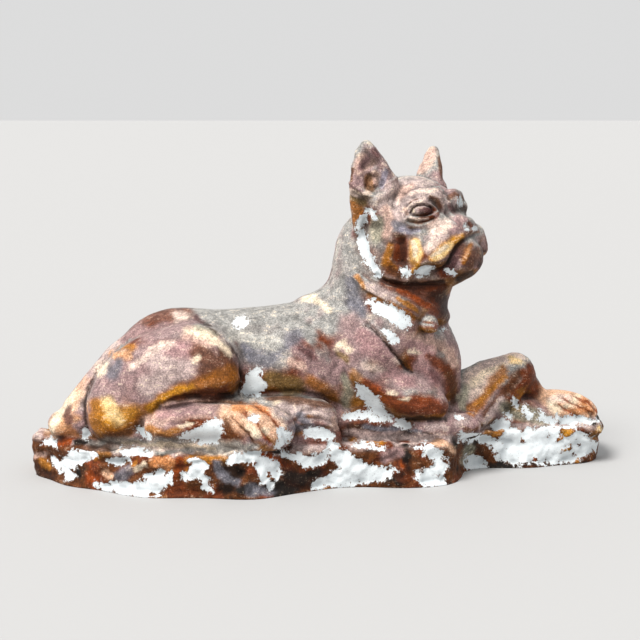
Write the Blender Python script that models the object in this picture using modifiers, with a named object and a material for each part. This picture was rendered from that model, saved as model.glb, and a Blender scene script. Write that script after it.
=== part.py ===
"""A reclining bulldog of painted plaster, cast in one with the rock that it lies on.

The clay is drawn in its own units: one unit is a 520th of the figure's length, so a
unit is a millimetre at the real size. X runs from the rump to the breast, Y from the
dog's right side to its left, and Z up from the rock's upper face. The rock's height is
a size of its own, and the dog stands on it whatever that height is.
"""

import math

import bmesh
import bpy
import numpy as np
from mathutils import Matrix, Vector

# Driving sizes, in metres
figure_length = 0.520
rock_height = 0.039

# Surface, in metres
skin_cell = 0.0042
fine_cell = 0.0021
target_triangles = 10100

# Worn paint
paint_colour = (0.30, 0.18, 0.13, 1.0)
paint_roughness = 0.5

unit = figure_length / 520.0
rock_top = rock_height / unit
under_cut = 0.25 * rock_top  # spare clay below the underside, until it is cut flat

# Pose of the head: it looks to the dog's right and a little up
head_place = (84.0, -12.0, 198.0)
head_turn = math.radians(40.0)
head_lift = math.radians(10.0)
wider_left = 1.18  # the face is that much wider on its left side than on its right


class Lump:
    """One piece of clay that is added to the figure or cut from it: how far points are from it,
    the box in which it counts, the width of its fillet, and the balls that block it out."""

    def __init__(self, distance, centres, reach, blend, cut, balls):
        centres = np.atleast_2d(centres)
        self.distance = distance
        self.low = centres.min(0) - reach - 26.0
        self.high = centres.max(0) + reach + 26.0
        self.blend = blend
        self.cut = cut
        self.balls = [] if cut else balls


def egg(centre, radii, blend=8.0, cut=False, yaw=0.0, pitch=0.0):
    """An ellipsoid. Yaw turns it about Z, and pitch lifts its front."""
    about = Matrix.Rotation(math.radians(yaw), 3, "Z") @ Matrix.Rotation(math.radians(-pitch), 3, "Y")
    turn = np.array(about)
    centre, radii = np.array(centre, float), np.array(radii, float)

    def distance(p):
        q = (p - centre) @ turn
        near = np.linalg.norm(q / radii, axis=1)
        steep = np.linalg.norm(q / radii**2, axis=1)
        return near * (near - 1.0) / np.maximum(steep, 1e-9)

    return Lump(distance, centre, radii.max(), blend, cut, [(centre, radii, turn)])


def limb(*knots, blend=8.0, cut=False):
    """A tapered limb through knots of (x, y, z, radius)."""
    knots = np.array(knots, float)
    pairs = list(zip(knots, knots[1:]))
    balls = []
    for a, b in pairs:
        count = max(2, math.ceil(np.linalg.norm(b[:3] - a[:3]) / (0.35 * min(a[3], b[3]))) + 1)
        for t in np.linspace(0.0, 1.0, count):
            mix = a + t * (b - a)
            balls.append((mix[:3], np.full(3, mix[3]), np.eye(3)))

    def distance(p):
        found = np.full(len(p), 1e3)
        for a, b in pairs:
            along = b[:3] - a[:3]
            share = np.clip((p - a[:3]) @ along / (along @ along), 0.0, 1.0)
            gap = np.linalg.norm(p - a[:3] - share[:, None] * along, axis=1)
            found = np.minimum(found, gap - (a[3] + share * (b[3] - a[3])))
        return found

    return Lump(distance, knots[:, :3], knots[:, 3].max(), blend, cut, balls)


def ring(centre, reach_x, reach_y, thickness, lean, blend=4.0):
    """An oval hoop round the neck. Lean is how far its front dips."""
    turn = np.array(Matrix.Rotation(math.radians(lean), 3, "Y"))
    centre = np.array(centre, float)
    size = math.sqrt(reach_x * reach_y)
    balls = []
    for angle in np.linspace(0.0, math.tau, 72, endpoint=False):
        spot = centre + turn @ (reach_x * math.cos(angle), reach_y * math.sin(angle), 0.0)
        balls.append((spot, np.full(3, thickness), np.eye(3)))

    def distance(p):
        q = (p - centre) @ turn
        around = np.hypot(q[:, 0] / reach_x, q[:, 1] / reach_y)
        return np.hypot((around - 1.0) * size, q[:, 2]) - thickness

    return Lump(distance, centre, max(reach_x, reach_y) + thickness, blend, False, balls)


def blend_of(a, b, width):
    """The nearer of two distances, with a fillet of that width where they meet."""
    h = np.clip(1.0 - np.abs(a - b) / width, 0.0, 1.0)
    return np.minimum(a, b) - h * h * width * 0.25


def fold(lumps, p, found=None):
    """The distance from the points p to the clay of these lumps, added in turn to what was found."""
    found = np.full(len(p), 1e3) if found is None else found
    for lump in lumps:
        near = np.all((p > lump.low) & (p < lump.high), axis=1)
        if not near.any():
            continue
        d = lump.distance(p[near])
        if lump.cut:
            found[near] = -blend_of(-found[near], d, lump.blend)
        else:
            found[near] = blend_of(found[near], d, lump.blend)
    return found


def head_axes():
    """Columns are the head's forward, left and up directions."""
    up_turn = Matrix.Rotation(-head_turn, 3, "Z") @ Matrix.Rotation(-head_lift, 3, "Y")
    return np.array(up_turn)


def groove(*points, width=3.0, blend=3.0):
    """A furrow of that half width along a line of points."""
    return limb(*[(*point, width) for point in points], blend=blend, cut=True)


def torso():
    return [
        egg((-126, -14, 57), (60, 50, 55), 10),
        egg((-60, -8, 58), (66, 48, 53), 24),
        egg((10, 2, 60), (72, 56, 61), 24),
        egg((70, 6, 62), (56, 50, 54), 20),
        egg((99, 6, 52), (27, 40, 36), 14),
        egg((22, 0, 102), (34, 26, 20), 18),
        egg((-14, -42, 64), (36, 18, 32), 12, pitch=20),
        egg((10, -8, 8), (120, 40, 34), 10),
        egg((-130, -10, 10), (90, 66, 26), 10),
    ]


def shoulders():
    return [
        egg((46, -38, 80), (28, 22, 48), 8, pitch=-38),
        egg((71, -38, 41), (46, 22, 20), 8, pitch=-22),
        groove((62, -62, 104), (78, -62, 78), (90, -58, 52), width=4.0, blend=8.0),
        limb((50, 40, 84, 26), (104, 34, 26, 24), blend=12),
    ]


def hindquarters():
    return [
        egg((-134, -52, 60), (66, 34, 39), 7, pitch=20),
        egg((-95, -64, 66), (25, 23, 28), 8),
        limb((-122, -64, 34, 16), (-80, -56, 30, 18), blend=6),
        egg((-176, -58, 30), (28, 26, 32), 12),
        limb((-172, -20, 57, 27), (-205, -28, 17, 27), (-230, -34, 10, 13), blend=9),
        egg((-168, 24, 36), (40, 36, 42), 14),
        egg((-106, 54, 32), (66, 36, 38), 10, yaw=-4, pitch=12),
        limb((-96, 78, 6, 13), (-20, 74, 8, 13), blend=8),
        egg((4, 72, 8), (26, 15, 16), 6),
    ]


def hind_feet():
    return [
        limb((-140, -60, 4, 16), (4, -58, 4, 15), blend=6),
        limb((-136, -78, 18, 15), (-104, -82, 24, 14), (-72, -84, 25, 14), blend=5),
        limb((-136, -74, 6, 12), (-60, -76, 6, 16), blend=5),
        egg((-54, -84, 17), (33, 19, 22), 5),
        limb((-60, -60, 24, 16), (-22, -60, 24, 18), blend=4),
        egg((-6, -62, 20), (22, 14, 20), 4),
        groove((-46, -108, 24), (-24, -102, 20), (-18, -92, 10)),
        groove((-52, -110, 14), (-34, -108, 8), (-30, -100, 0)),
        groove((-40, -100, 36), (-20, -94, 30), (-12, -84, 20)),
        groove((-14, -78, 29), (14, -74, 27), (20, -62, 26), width=2.2),
        groove((-14, -80, 19), (14, -76, 17), (20, -62, 16), width=2.2),
        groove((-14, -80, 9), (14, -76, 8), (20, -62, 7), width=2.2),
    ]


def forelegs():
    return [
        limb((126, 16, 18, 26), (156, 24, 36, 21), (182, 30, 46, 17), blend=8),
        limb((142, 2, 10, 14), (184, 24, 40, 16), blend=6),
        limb((185, 33, 44, 14), (202, 40, 18, 13), blend=7),
        egg((230, 45, 7), (35, 22, 17), 7, yaw=4, pitch=-8),
        groove((244, 24, 22), (262, 28, 12), (268, 34, 2), width=2.6),
        groove((246, 40, 26), (266, 43, 14), (272, 46, 2), width=2.6),
        groove((244, 58, 22), (262, 58, 12), (268, 58, 2), width=2.6),
        limb((92, -38, 8, 12), (106, -37, 8, 13), (134, -25, 7, 11), blend=5),
        egg((180, 22, 0), (46, 18, 22), 6),
    ]


def neck():
    return [
        limb((55, 3, 96, 53), (60, -2, 158, 47), (77, -6, 186, 42.5), blend=20),
        ring((66, -2, 127), 52, 48, 5.5, 27, blend=5),
        egg((96, -44, 102), (8, 8, 8), 3),
    ]


def head():
    """The head without its ears, in its own frame: forward, left and up. The right side is given."""
    return [
        egg((-4, 0, -8), (43, 41, 37), 8),
        egg((2, -28, -30), (31, 19, 32), 12),
        egg((31, 0, -28), (24, 26, 23), 10),
        egg((46, 0, -17), (11, 11, 8), 6),
        egg((30, 0, -52), (20, 22, 16), 8),
        egg((44, 0, -45), (16, 20, 18), 5),
        limb((6, 0, -50, 26), (-12, 0, -66, 33), blend=10),
        limb((23, -30, 5, 4), (29, -23, 10, 4.5), (34, -13, 11, 4.5), (38, -5, 4, 4.5), blend=8),
        egg((30, -29, 0), (7, 11, 7), 5, cut=True, yaw=-40),
        egg((23, -24, 0), (10, 11, 8), 2),
        limb((46, -8, -20, 7), (40, -21, -28, 11.5), (36, -27, -38, 12), (16, -31, -42, 9), blend=5),
        groove((60, -5, -28), (55, -15, -34), (46, -28, -48), (28, -36, -52), width=2.6, blend=4.0),
        groove((24, -42, -18), (16, -46, -30), (12, -44, -42), width=6.0, blend=9.0),
    ]


def ear(side, size):
    """An upright ear, a cup whose mouth looks forward and outward. Side is -1 for the dog's right."""

    def at(along, out, up, radius):
        forward = -3.0 + size * (0.77 * along + 0.64 * out)
        left = side * (47.0 - size * (0.64 * along - 0.77 * out))
        return forward, left, size * up, size * radius

    return [
        limb(at(2, -10, 4, 16), at(0, -8, 24, 15), at(-2, -6, 42, 10.5), at(-3, -4, 54, 6), blend=8),
        limb(at(-2, -17, 8, 15), at(-1, -10, 34, 9), blend=8),
        limb(at(17, -7, 26, 5), at(10, -1, 42, 4.5), at(2, 0, 54, 4.5), at(-3, 0, 59, 4), blend=5),
        limb(at(-19, -9, -7, 4), at(-17, -6, 12, 6), at(-16.5, 0, 28, 5), at(-13, 0, 43, 4.5), blend=6),
        limb(at(-13, 0, 43, 4.5), at(-9, 0, 54, 4.5), at(-4, 0, 59, 4), blend=4),
        limb(at(-16, 1, 25, 4), at(-9, 4, 19, 4), at(2, 4, 17, 4), at(12, 0, 22, 4), blend=5),
        limb(at(0, 11, 29, 13.5), at(-2, 9, 41, 9.5), at(-4, 7, 52, 4), blend=3, cut=True),
        limb(at(0, 0, 25, 5), at(-1, -2, 33, 4), blend=4, cut=True),
    ]


def rock_outline():
    """The rock's plan, from behind the dog round its right side, as (x, y) corners of a smooth curve."""
    return [
        (-260, -20), (-238, -44), (-204, -72), (-150, -95), (-98, -102), (-56, -101), (-20, -84),
        (16, -70), (70, -67), (106, -61), (123, -46), (134, -18), (154, -5), (196, 0), (246, 5),
        (268, 28), (268, 62), (248, 88), (196, 94), (120, 90), (40, 95), (-60, 100),
        (-150, 94), (-206, 76), (-244, 32),
    ]


def closed_curve(corners, steps=5):
    """Points of a smooth closed curve through the corners (Catmull-Rom)."""
    c = np.array(corners, float)
    before, after, beyond = np.roll(c, 1, 0), np.roll(c, -1, 0), np.roll(c, -2, 0)
    points = []
    for i in range(len(c)):
        for t in np.arange(steps) / steps:
            points.append(
                0.5
                * (
                    2 * c[i]
                    + (after[i] - before[i]) * t
                    + (2 * before[i] - 5 * c[i] + 4 * after[i] - beyond[i]) * t**2
                    + (3 * c[i] - before[i] - 3 * after[i] + beyond[i]) * t**3
                )
            )
    return np.array(points)


def outline_distance(p, outline):
    """Signed distance in plan from each point to a closed outline, negative inside."""
    x, y = p[:, 0], p[:, 1]
    best = np.full(len(p), 1e9)
    inside = np.zeros(len(p), bool)
    for a, b in zip(outline, np.roll(outline, -1, 0)):
        e = b - a
        wx, wy = x - a[0], y - a[1]
        t = np.clip((wx * e[0] + wy * e[1]) / (e @ e), 0.0, 1.0)
        best = np.minimum(best, (wx - e[0] * t) ** 2 + (wy - e[1] * t) ** 2)
        crosses = (a[1] > y) != (b[1] > y)
        if abs(e[1]) > 1e-9:
            inside ^= crosses & (x < a[0] + (y - a[1]) * e[0] / e[1])
    return np.where(inside, -1.0, 1.0) * np.sqrt(best)


def rock(p, outline):
    """The rock: its outline, rounded over at the upper edge and drawn in below the forepaw."""
    edge = 7.0
    down = np.clip(-p[:, 2] / rock_top, 0.0, 1.0)
    swell = 2.5 * np.sin(p[:, 0] / 17.0 + 1.3 * np.sin(p[:, 1] / 23.0)) * np.cos(p[:, 2] / 13.0)
    lean = 9.0 * down * np.clip((p[:, 0] - 200.0) / 60.0, 0.0, 1.0)
    side = outline_distance(p, outline) - swell + lean + edge
    low = -rock_top - under_cut
    level = np.maximum(p[:, 2] + edge, low - p[:, 2])
    outer = np.hypot(np.maximum(side, 0.0), np.maximum(level, 0.0))
    return np.minimum(np.maximum(side, level), 0.0) + outer - edge


class Figure:
    """The whole piece of clay, as a field of distances to its surface."""

    def __init__(self):
        self.outline = closed_curve(rock_outline())
        self.body = [*torso(), *shoulders(), *hindquarters(), *hind_feet(), *forelegs(), *neck()]
        self.head = head()
        self.ears = [*ear(-1.0, 1.03), *ear(1.0, 0.92)]
        self.axes = head_axes()
        self.head_place = np.array(head_place)

    def head_distance(self, p):
        q = (p - self.head_place) @ self.axes
        half = q.copy()
        half[:, 1] = np.where(q[:, 1] > 0.0, -q[:, 1] / wider_left, q[:, 1])
        return fold(self.ears, q, fold(self.head, half))

    def distance(self, p):
        found = fold(self.body, p)
        near = np.linalg.norm(p - self.head_place, axis=1) < 130.0
        if near.any():
            found[near] = blend_of(found[near], self.head_distance(p[near]), 10.0)
        return blend_of(found, rock(p, self.outline), 5.0)


def unit_ball():
    mesh = bmesh.new()
    bmesh.ops.create_uvsphere(mesh, u_segments=20, v_segments=12, radius=1.0)
    made = bpy.data.meshes.new("unit_ball")
    mesh.to_mesh(made)
    mesh.free()
    return made


def add_ball(mesh, ball, centre, radii, turn):
    made = ball.copy()
    stretch = Matrix.Diagonal((*radii, 1.0))
    made.transform(Matrix.Translation(Vector(centre)) @ Matrix(turn.tolist()).to_4x4() @ stretch)
    mesh.from_mesh(made)
    bpy.data.meshes.remove(made)


def add_slab(mesh, outline, low, high):
    """The rock's block: its outline as one face, extruded down."""
    top = mesh.faces.new([mesh.verts.new((x, y, high)) for x, y in outline])
    made = bmesh.ops.extrude_face_region(mesh, geom=[top], use_keep_orig=True)
    bottom = [v for v in made["geom"] if isinstance(v, bmesh.types.BMVert)]
    bmesh.ops.translate(mesh, verts=bottom, vec=(0, 0, low - high))
    bmesh.ops.recalc_face_normals(mesh, faces=mesh.faces)


def block_out(figure):
    """The rough figure: every lump as a ball or a string of balls, on the rock's block."""
    mesh, unit_mesh = bmesh.new(), unit_ball()
    add_slab(mesh, 0.965 * figure.outline, -rock_top - under_cut, -1.0)
    for lump in figure.body:
        for ball in lump.balls:
            add_ball(mesh, unit_mesh, *ball)
    halves = [(figure.head, 1.0), (figure.head, -1.0), (figure.ears, 1.0)]
    for lumps, side in halves:
        mirror = figure.axes @ np.diag((1.0, side, 1.0))
        for lump in lumps:
            for centre, radii, turn in lump.balls:
                add_ball(mesh, unit_mesh, figure.head_place + mirror @ centre, radii, mirror @ turn)
    made = bpy.data.meshes.new("dog_statue")
    mesh.to_mesh(made)
    mesh.free()
    bpy.data.meshes.remove(unit_mesh)
    obj = bpy.data.objects.new("dog_statue", made)
    kept = bpy.data.collections.new("plaster dog statue")
    bpy.context.scene.collection.children.link(kept)
    kept.objects.link(obj)
    return obj


def apply_modifier(obj, kind, **settings):
    """Adds a modifier and keeps its result as the object's mesh."""
    modifier = obj.modifiers.new(kind.title(), kind)
    for name, value in settings.items():
        setattr(modifier, name, value)
    graph = bpy.context.evaluated_depsgraph_get()
    made = bpy.data.meshes.new_from_object(obj.evaluated_get(graph))
    obj.modifiers.clear()
    old, obj.data = obj.data, made
    bpy.data.meshes.remove(old)


def points_of(obj):
    co = np.empty(len(obj.data.vertices) * 3)
    obj.data.vertices.foreach_get("co", co)
    return co.reshape(-1, 3)


def press(obj, figure, rounds, longest=3.0):
    """Presses the skin onto the clay's blended surface, and eases its points along it between steps."""
    p = points_of(obj)
    ends = np.empty(len(obj.data.edges) * 2, np.int64)
    obj.data.edges.foreach_get("vertices", ends)
    a, b = ends.reshape(-1, 2).T
    count = np.bincount(ends, minlength=len(p))[:, None]
    normal = np.empty(p.size)
    for turn in range(rounds):
        obj.data.vertex_normals.foreach_get("vector", normal)
        n = normal.reshape(-1, 3)
        p -= n * np.clip(figure.distance(p), -longest, longest)[:, None]
        if turn < rounds - 2:
            columns = [np.bincount(a, p[b, i], len(p)) + np.bincount(b, p[a, i], len(p)) for i in range(3)]
            ease = 0.5 * (np.stack(columns, 1) / count - p)
            p += ease - 0.8 * n * np.sum(ease * n, axis=1)[:, None]
        obj.data.vertices.foreach_set("co", p.ravel())
        obj.data.update()


def thin_out(obj, triangles):
    """Collapses the skin to about that many triangles, and spares the head and the paws."""
    p = points_of(obj)
    around_head = np.linalg.norm(p - np.array(head_place), axis=1) / 75.0
    weight = np.clip(around_head - 0.4, 0.25, 1.0)
    group = obj.vertex_groups.new(name="plain")
    for level in np.unique(np.round(weight, 1)):
        chosen = np.flatnonzero(np.round(weight, 1) == level)
        group.add(chosen.tolist(), float(level), "REPLACE")
    share = triangles / (2.0 * len(obj.data.polygons))
    apply_modifier(obj, "DECIMATE", ratio=share, vertex_group="plain", vertex_group_factor=1.0)
    obj.vertex_groups.clear()


def cut_flat(obj, level):
    """Cuts the underside flat and closes it."""
    mesh = bmesh.new()
    mesh.from_mesh(obj.data)
    everything = [*mesh.verts, *mesh.edges, *mesh.faces]
    cut = bmesh.ops.bisect_plane(
        mesh, geom=everything, plane_co=(0, 0, level), plane_no=(0, 0, -1), clear_outer=True
    )
    rim = [e for e in cut["geom_cut"] if isinstance(e, bmesh.types.BMEdge)]
    bmesh.ops.holes_fill(mesh, edges=rim)
    bmesh.ops.triangulate(mesh, faces=[f for f in mesh.faces if len(f.verts) > 4])
    mesh.to_mesh(obj.data)
    mesh.free()


def settle(obj):
    """Sets the figure in metres, on its underside, with the origin under the middle of its bounds."""
    p = points_of(obj)
    middle = 0.5 * (p.min(0) + p.max(0))
    obj.data.transform(Matrix.Translation((-middle[0], -middle[1], rock_top)))
    obj.data.transform(Matrix.Scale(unit, 4))


def clear_scene():
    for obj in list(bpy.data.objects):
        bpy.data.objects.remove(obj, do_unlink=True)


def build(cell=fine_cell, triangles=target_triangles):
    figure = Figure()
    obj = block_out(figure)
    apply_modifier(obj, "REMESH", mode="VOXEL", voxel_size=skin_cell / unit)
    press(obj, figure, 6)
    apply_modifier(obj, "REMESH", mode="VOXEL", voxel_size=cell / unit)
    press(obj, figure, 8)
    if triangles:
        thin_out(obj, triangles)
    cut_flat(obj, -rock_top)
    settle(obj)
    return obj


def worn_paint():
    material = bpy.data.materials.new("worn_brown_paint")
    material.use_nodes = True
    surface = material.node_tree.nodes["Principled BSDF"]
    surface.inputs["Base Color"].default_value = paint_colour
    surface.inputs["Roughness"].default_value = paint_roughness
    surface.inputs["Metallic"].default_value = 0.0
    return material


def main():
    clear_scene()
    obj = build()
    obj.data.shade_smooth()
    obj.data.materials.clear()
    obj.data.materials.append(worn_paint())


if __name__ == "__main__":
    main()
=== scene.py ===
# The looks of the painted plaster dog: its carving, its worn paint and its chips.
# The clay's unit is a millimetre. X runs from rump to breast, Y from the dog's right to its left,
# Z up from the rock's upper face, as in the part's own drawing.

import math

import bpy
import numpy as np
from mathutils import Matrix, Vector


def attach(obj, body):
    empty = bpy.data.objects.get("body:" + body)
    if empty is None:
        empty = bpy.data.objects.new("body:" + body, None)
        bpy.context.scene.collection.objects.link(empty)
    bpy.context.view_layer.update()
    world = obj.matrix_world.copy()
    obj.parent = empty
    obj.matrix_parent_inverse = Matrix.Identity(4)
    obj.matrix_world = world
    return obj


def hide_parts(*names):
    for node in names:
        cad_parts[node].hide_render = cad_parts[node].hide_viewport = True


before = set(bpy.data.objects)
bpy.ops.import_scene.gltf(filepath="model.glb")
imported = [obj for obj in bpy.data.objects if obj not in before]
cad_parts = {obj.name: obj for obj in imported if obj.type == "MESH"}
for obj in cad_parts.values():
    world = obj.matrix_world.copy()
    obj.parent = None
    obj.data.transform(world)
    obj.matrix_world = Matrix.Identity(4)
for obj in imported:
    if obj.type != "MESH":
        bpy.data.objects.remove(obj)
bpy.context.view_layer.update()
print("frame loaded")

statue = {
    "node": "dog_statue",
    "slot": "painted_plaster",
    "rockTop": 39.0,           # height of the rock's upper face
    "middle": (2.79, -0.98),   # where the row's origin lies in the clay's drawing
    "firstCell": 2.6,          # the skin's mesh, first coarse and then fine
    "cell": 1.5,
    "pressStep": 3.0,          # the furthest that a point goes at one press
    "triangles": 192000,
    "headPlace": (84.0, -12.0, 198.0),
    "headReach": 130.0,        # the head's clay lies within this of its place
    "fineReach": 88.0,         # and its fine faces within this
    "headTurn": 40.0,          # degrees to the dog's right
    "headLift": 10.0,
    "widerLeft": 1.18,         # the face is that much wider on its left side
}

# The photograph's camera, which also places the carving and paint that only the photograph gives
photo = {
    "tilt": 9.0,
    "distance": 1200.0,
    "aim": (0.0, 0.0, 99.0),
    "focal": 1319.6,           # pixels
    "centre": 320.0,
    "pixels": 640.0,
    "sensor": 36.0,
}


# Clay: distances to eggs, limbs and hoops, added and cut one after the other


def turnOf(yaw=0.0, pitch=0.0):
    about = Matrix.Rotation(math.radians(yaw), 3, "Z") @ Matrix.Rotation(math.radians(-pitch), 3, "Y")
    return np.array(about)


def egg(centre, radii, blend=8.0, cut=False, yaw=0.0, pitch=0.0):
    centre, radii, turn = np.array(centre, float), np.array(radii, float), turnOf(yaw, pitch)

    def distance(p):
        q = (p - centre) @ turn
        near = np.linalg.norm(q / radii, axis=1)
        steep = np.linalg.norm(q / radii**2, axis=1)
        return near * (near - 1.0) / np.maximum(steep, 1e-9)

    reach = radii.max() + 26.0
    return distance, centre - reach, centre + reach, blend, cut


def chainGap(p, knots):
    found = np.full(len(p), 1e3)
    for a, b in zip(knots, knots[1:]):
        along = (b - a)[:-1]
        share = np.clip((p - a[:-1]) @ along / max(along @ along, 1e-9), 0.0, 1.0)
        gap = np.linalg.norm(p - a[:-1] - share[:, None] * along, axis=1)
        found = np.minimum(found, gap - (a[-1] + share * (b[-1] - a[-1])))
    return found


def limb(*knots, blend=8.0, cut=False):
    knots = np.array(knots, float)
    reach = knots[:, 3].max() + 26.0
    places = knots[:, :3]
    return (lambda p: chainGap(p, knots)), places.min(0) - reach, places.max(0) + reach, blend, cut


def groove(*points, width=3.0, blend=3.0):
    return limb(*[(*point, width) for point in points], blend=blend, cut=True)


def hoop(centre, reachX, reachY, thickness, lean, blend=4.0):
    centre, turn = np.array(centre, float), turnOf(pitch=-lean)
    size = math.sqrt(reachX * reachY)

    def distance(p):
        q = (p - centre) @ turn
        around = np.hypot(q[:, 0] / reachX, q[:, 1] / reachY)
        return np.hypot((around - 1.0) * size, q[:, 2]) - thickness

    reach = max(reachX, reachY) + thickness + 26.0
    return distance, centre - reach, centre + reach, blend, False


def blendOf(a, b, width):
    h = np.clip(1.0 - np.abs(a - b) / width, 0.0, 1.0)
    return np.minimum(a, b) - h * h * width * 0.25


def fold(lumps, p, found=None):
    found = np.full(len(p), 1e3) if found is None else found
    for distance, low, high, blend, cut in lumps:
        near = np.all((p > low) & (p < high), axis=1)
        if near.any():
            d = distance(p[near])
            found[near] = -blendOf(-found[near], d, blend) if cut else blendOf(found[near], d, blend)
    return found


torso = [
    egg((-126, -14, 57), (60, 50, 55), 10),
    egg((-60, -8, 58), (66, 48, 53), 24),
    egg((10, 2, 60), (72, 56, 61), 24),
    egg((70, 6, 62), (56, 50, 54), 20),
    egg((99, 6, 52), (27, 40, 36), 14),
    egg((22, 0, 102), (34, 26, 20), 18),
    egg((-14, -42, 64), (36, 18, 32), 12, pitch=20),
    egg((10, -8, 8), (120, 40, 34), 10),
    egg((-130, -10, 10), (90, 66, 26), 10),
]

shoulders = [
    egg((46, -38, 80), (28, 22, 48), 8, pitch=-38),
    egg((71, -38, 41), (46, 22, 20), 8, pitch=-22),
    groove((62, -62, 104), (78, -62, 78), (90, -58, 52), width=4.0, blend=8.0),
    limb((50, 40, 84, 26), (104, 34, 26, 24), blend=12),
]

hindquarters = [
    egg((-134, -52, 60), (66, 34, 39), 7, pitch=20),
    egg((-95, -64, 66), (25, 23, 28), 8),
    limb((-122, -64, 34, 16), (-80, -56, 30, 18), blend=6),
    egg((-176, -58, 30), (28, 26, 32), 12),
    limb((-172, -20, 57, 27), (-205, -28, 17, 27), (-230, -34, 10, 13), blend=9),
    egg((-168, 24, 36), (40, 36, 42), 14),
    egg((-106, 54, 32), (66, 36, 38), 10, yaw=-4, pitch=12),
    limb((-96, 78, 6, 13), (-20, 74, 8, 13), blend=8),
    egg((4, 72, 8), (26, 15, 16), 6),
]

hindFeet = [
    limb((-140, -60, 4, 16), (4, -58, 4, 15), blend=6),
    limb((-136, -78, 18, 15), (-104, -82, 24, 14), (-72, -84, 25, 14), blend=5),
    limb((-136, -74, 6, 12), (-60, -76, 6, 16), blend=5),
    egg((-54, -84, 17), (33, 19, 22), 5),
    limb((-60, -60, 24, 16), (-22, -60, 24, 18), blend=4),
    egg((-6, -62, 20), (22, 14, 20), 4),
]

forelegs = [
    limb((126, 16, 18, 26), (156, 24, 36, 21), (182, 30, 46, 17), blend=8),
    limb((142, 2, 10, 14), (184, 24, 40, 16), blend=6),
    limb((185, 33, 44, 14), (202, 40, 18, 13), blend=7),
    egg((230, 45, 7), (35, 22, 17), 7, yaw=4, pitch=-8),
    limb((92, -38, 8, 12), (106, -37, 8, 13), (134, -25, 7, 11), blend=5),
    egg((180, 22, 0), (46, 18, 22), 6),
]

neck = [
    limb((55, 3, 96, 53), (60, -2, 158, 47), (77, -6, 186, 42.5), blend=20),
    hoop((66, -2, 127), 52, 48, 5.5, 27, blend=5),
    egg((96, -44, 102), (8, 8, 8), 3),
]

# The head without its ears, in its own frame: forward, left and up. The right side is given.
head = [
    egg((-4, 0, -8), (43, 41, 37), 8),
    egg((2, -28, -30), (31, 19, 32), 12),
    egg((31, 0, -28), (24, 26, 23), 10),
    egg((46, 0, -17), (11, 11, 8), 6),
    egg((30, 0, -52), (20, 22, 16), 8),
    egg((44, 0, -45), (16, 20, 18), 5),
    limb((6, 0, -50, 26), (-12, 0, -66, 33), blend=10),
    limb((23, -30, 5, 4), (29, -23, 10, 4.5), (34, -13, 11, 4.5), (38, -5, 4, 4.5), blend=8),
    egg((30.6, -28.4, 0), (6.4, 8.4, 5.2), 4, cut=True, yaw=-40),
    egg((23, -24, 0), (9.8, 10, 7.4), 2),
    limb((46, -8, -20, 7), (40, -21, -28, 11.5), (36, -27, -38, 12), (16, -31, -42, 9), blend=5),
    groove((60, -5, -28), (55, -15, -34), (46, -28, -48), (28, -36, -52), width=2.6, blend=4.0),
    groove((24, -42, -18), (16, -46, -30), (12, -44, -42), width=6.0, blend=9.0),
]


# An upright ear, a cup whose mouth looks forward and outward. Side is -1 for the dog's right.
def ear(side, size):
    def at(along, out, up, radius):
        forward = -3.0 + size * (0.77 * along + 0.64 * out)
        left = side * (47.0 - size * (0.64 * along - 0.77 * out))
        return forward, left, size * up, size * radius

    return [
        limb(at(2, -10, 4, 16), at(0, -8, 24, 15), at(-2, -6, 42, 10.5), at(-3, -4, 54, 6), blend=8),
        limb(at(-2, -17, 8, 15), at(-1, -10, 34, 9), blend=8),
        limb(at(15, -7, 26, 5), at(7.5, -1, 42, 4.5), at(0.5, 0, 54, 4.5), at(-3, 0, 59, 4), blend=5),
        limb(at(-19, -9, -7, 4), at(-17, -6, 12, 6), at(-16.5, 0, 28, 5), at(-13, 0, 43, 4.5), blend=6),
        limb(at(-13, 0, 43, 4.5), at(-9, 0, 54, 4.5), at(-4, 0, 59, 4), blend=4),
        limb(at(-16, 1, 25, 4), at(-9, 4, 19, 4), at(2, 4, 17, 4), at(12, 0, 22, 4), blend=5),
        limb(at(0, 11, 29, 13.5), at(-2, 9, 41, 9.5), at(-4, 7, 52, 4), blend=3, cut=True),
        limb(at(0, 2, 25, 4.6), at(-1, 0, 32, 3.6), blend=5, cut=True),
    ]


# The rock's plan, from behind the dog round its right side: corners of a smooth closed curve
rockCorners = [
    (-260, -20), (-238, -44), (-204, -72), (-150, -95), (-98, -102), (-56, -101), (-20, -84),
    (16, -70), (70, -67), (106, -61), (123, -46), (134, -18), (154, -5), (196, 0), (246, 5),
    (268, 28), (268, 62), (248, 88), (196, 94), (120, 90), (40, 95), (-60, 100),
    (-150, 94), (-206, 76), (-244, 32),
]


def closedCurve(corners, steps=5):
    c = np.array(corners, float)
    before, after, beyond = np.roll(c, 1, 0), np.roll(c, -1, 0), np.roll(c, -2, 0)
    t = (np.arange(steps) / steps)[None, :, None]
    c, before, after, beyond = c[:, None], before[:, None], after[:, None], beyond[:, None]
    bend = (2 * before - 5 * c + 4 * after - beyond) * t**2 + (3 * c - before - 3 * after + beyond) * t**3
    return (0.5 * (2 * c + (after - before) * t + bend)).reshape(-1, 2)


def planGap(p, outline):
    x, y = p[:, 0], p[:, 1]
    best, inside = np.full(len(p), 1e9), np.zeros(len(p), bool)
    for a, b in zip(outline, np.roll(outline, -1, 0)):
        e, wx, wy = b - a, x - a[0], y - a[1]
        t = np.clip((wx * e[0] + wy * e[1]) / (e @ e), 0.0, 1.0)
        best = np.minimum(best, (wx - e[0] * t) ** 2 + (wy - e[1] * t) ** 2)
        if abs(e[1]) > 1e-9:
            inside ^= ((a[1] > y) != (b[1] > y)) & (x < a[0] + (y - a[1]) * e[0] / e[1])
    return np.where(inside, -1.0, 1.0) * np.sqrt(best)


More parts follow.
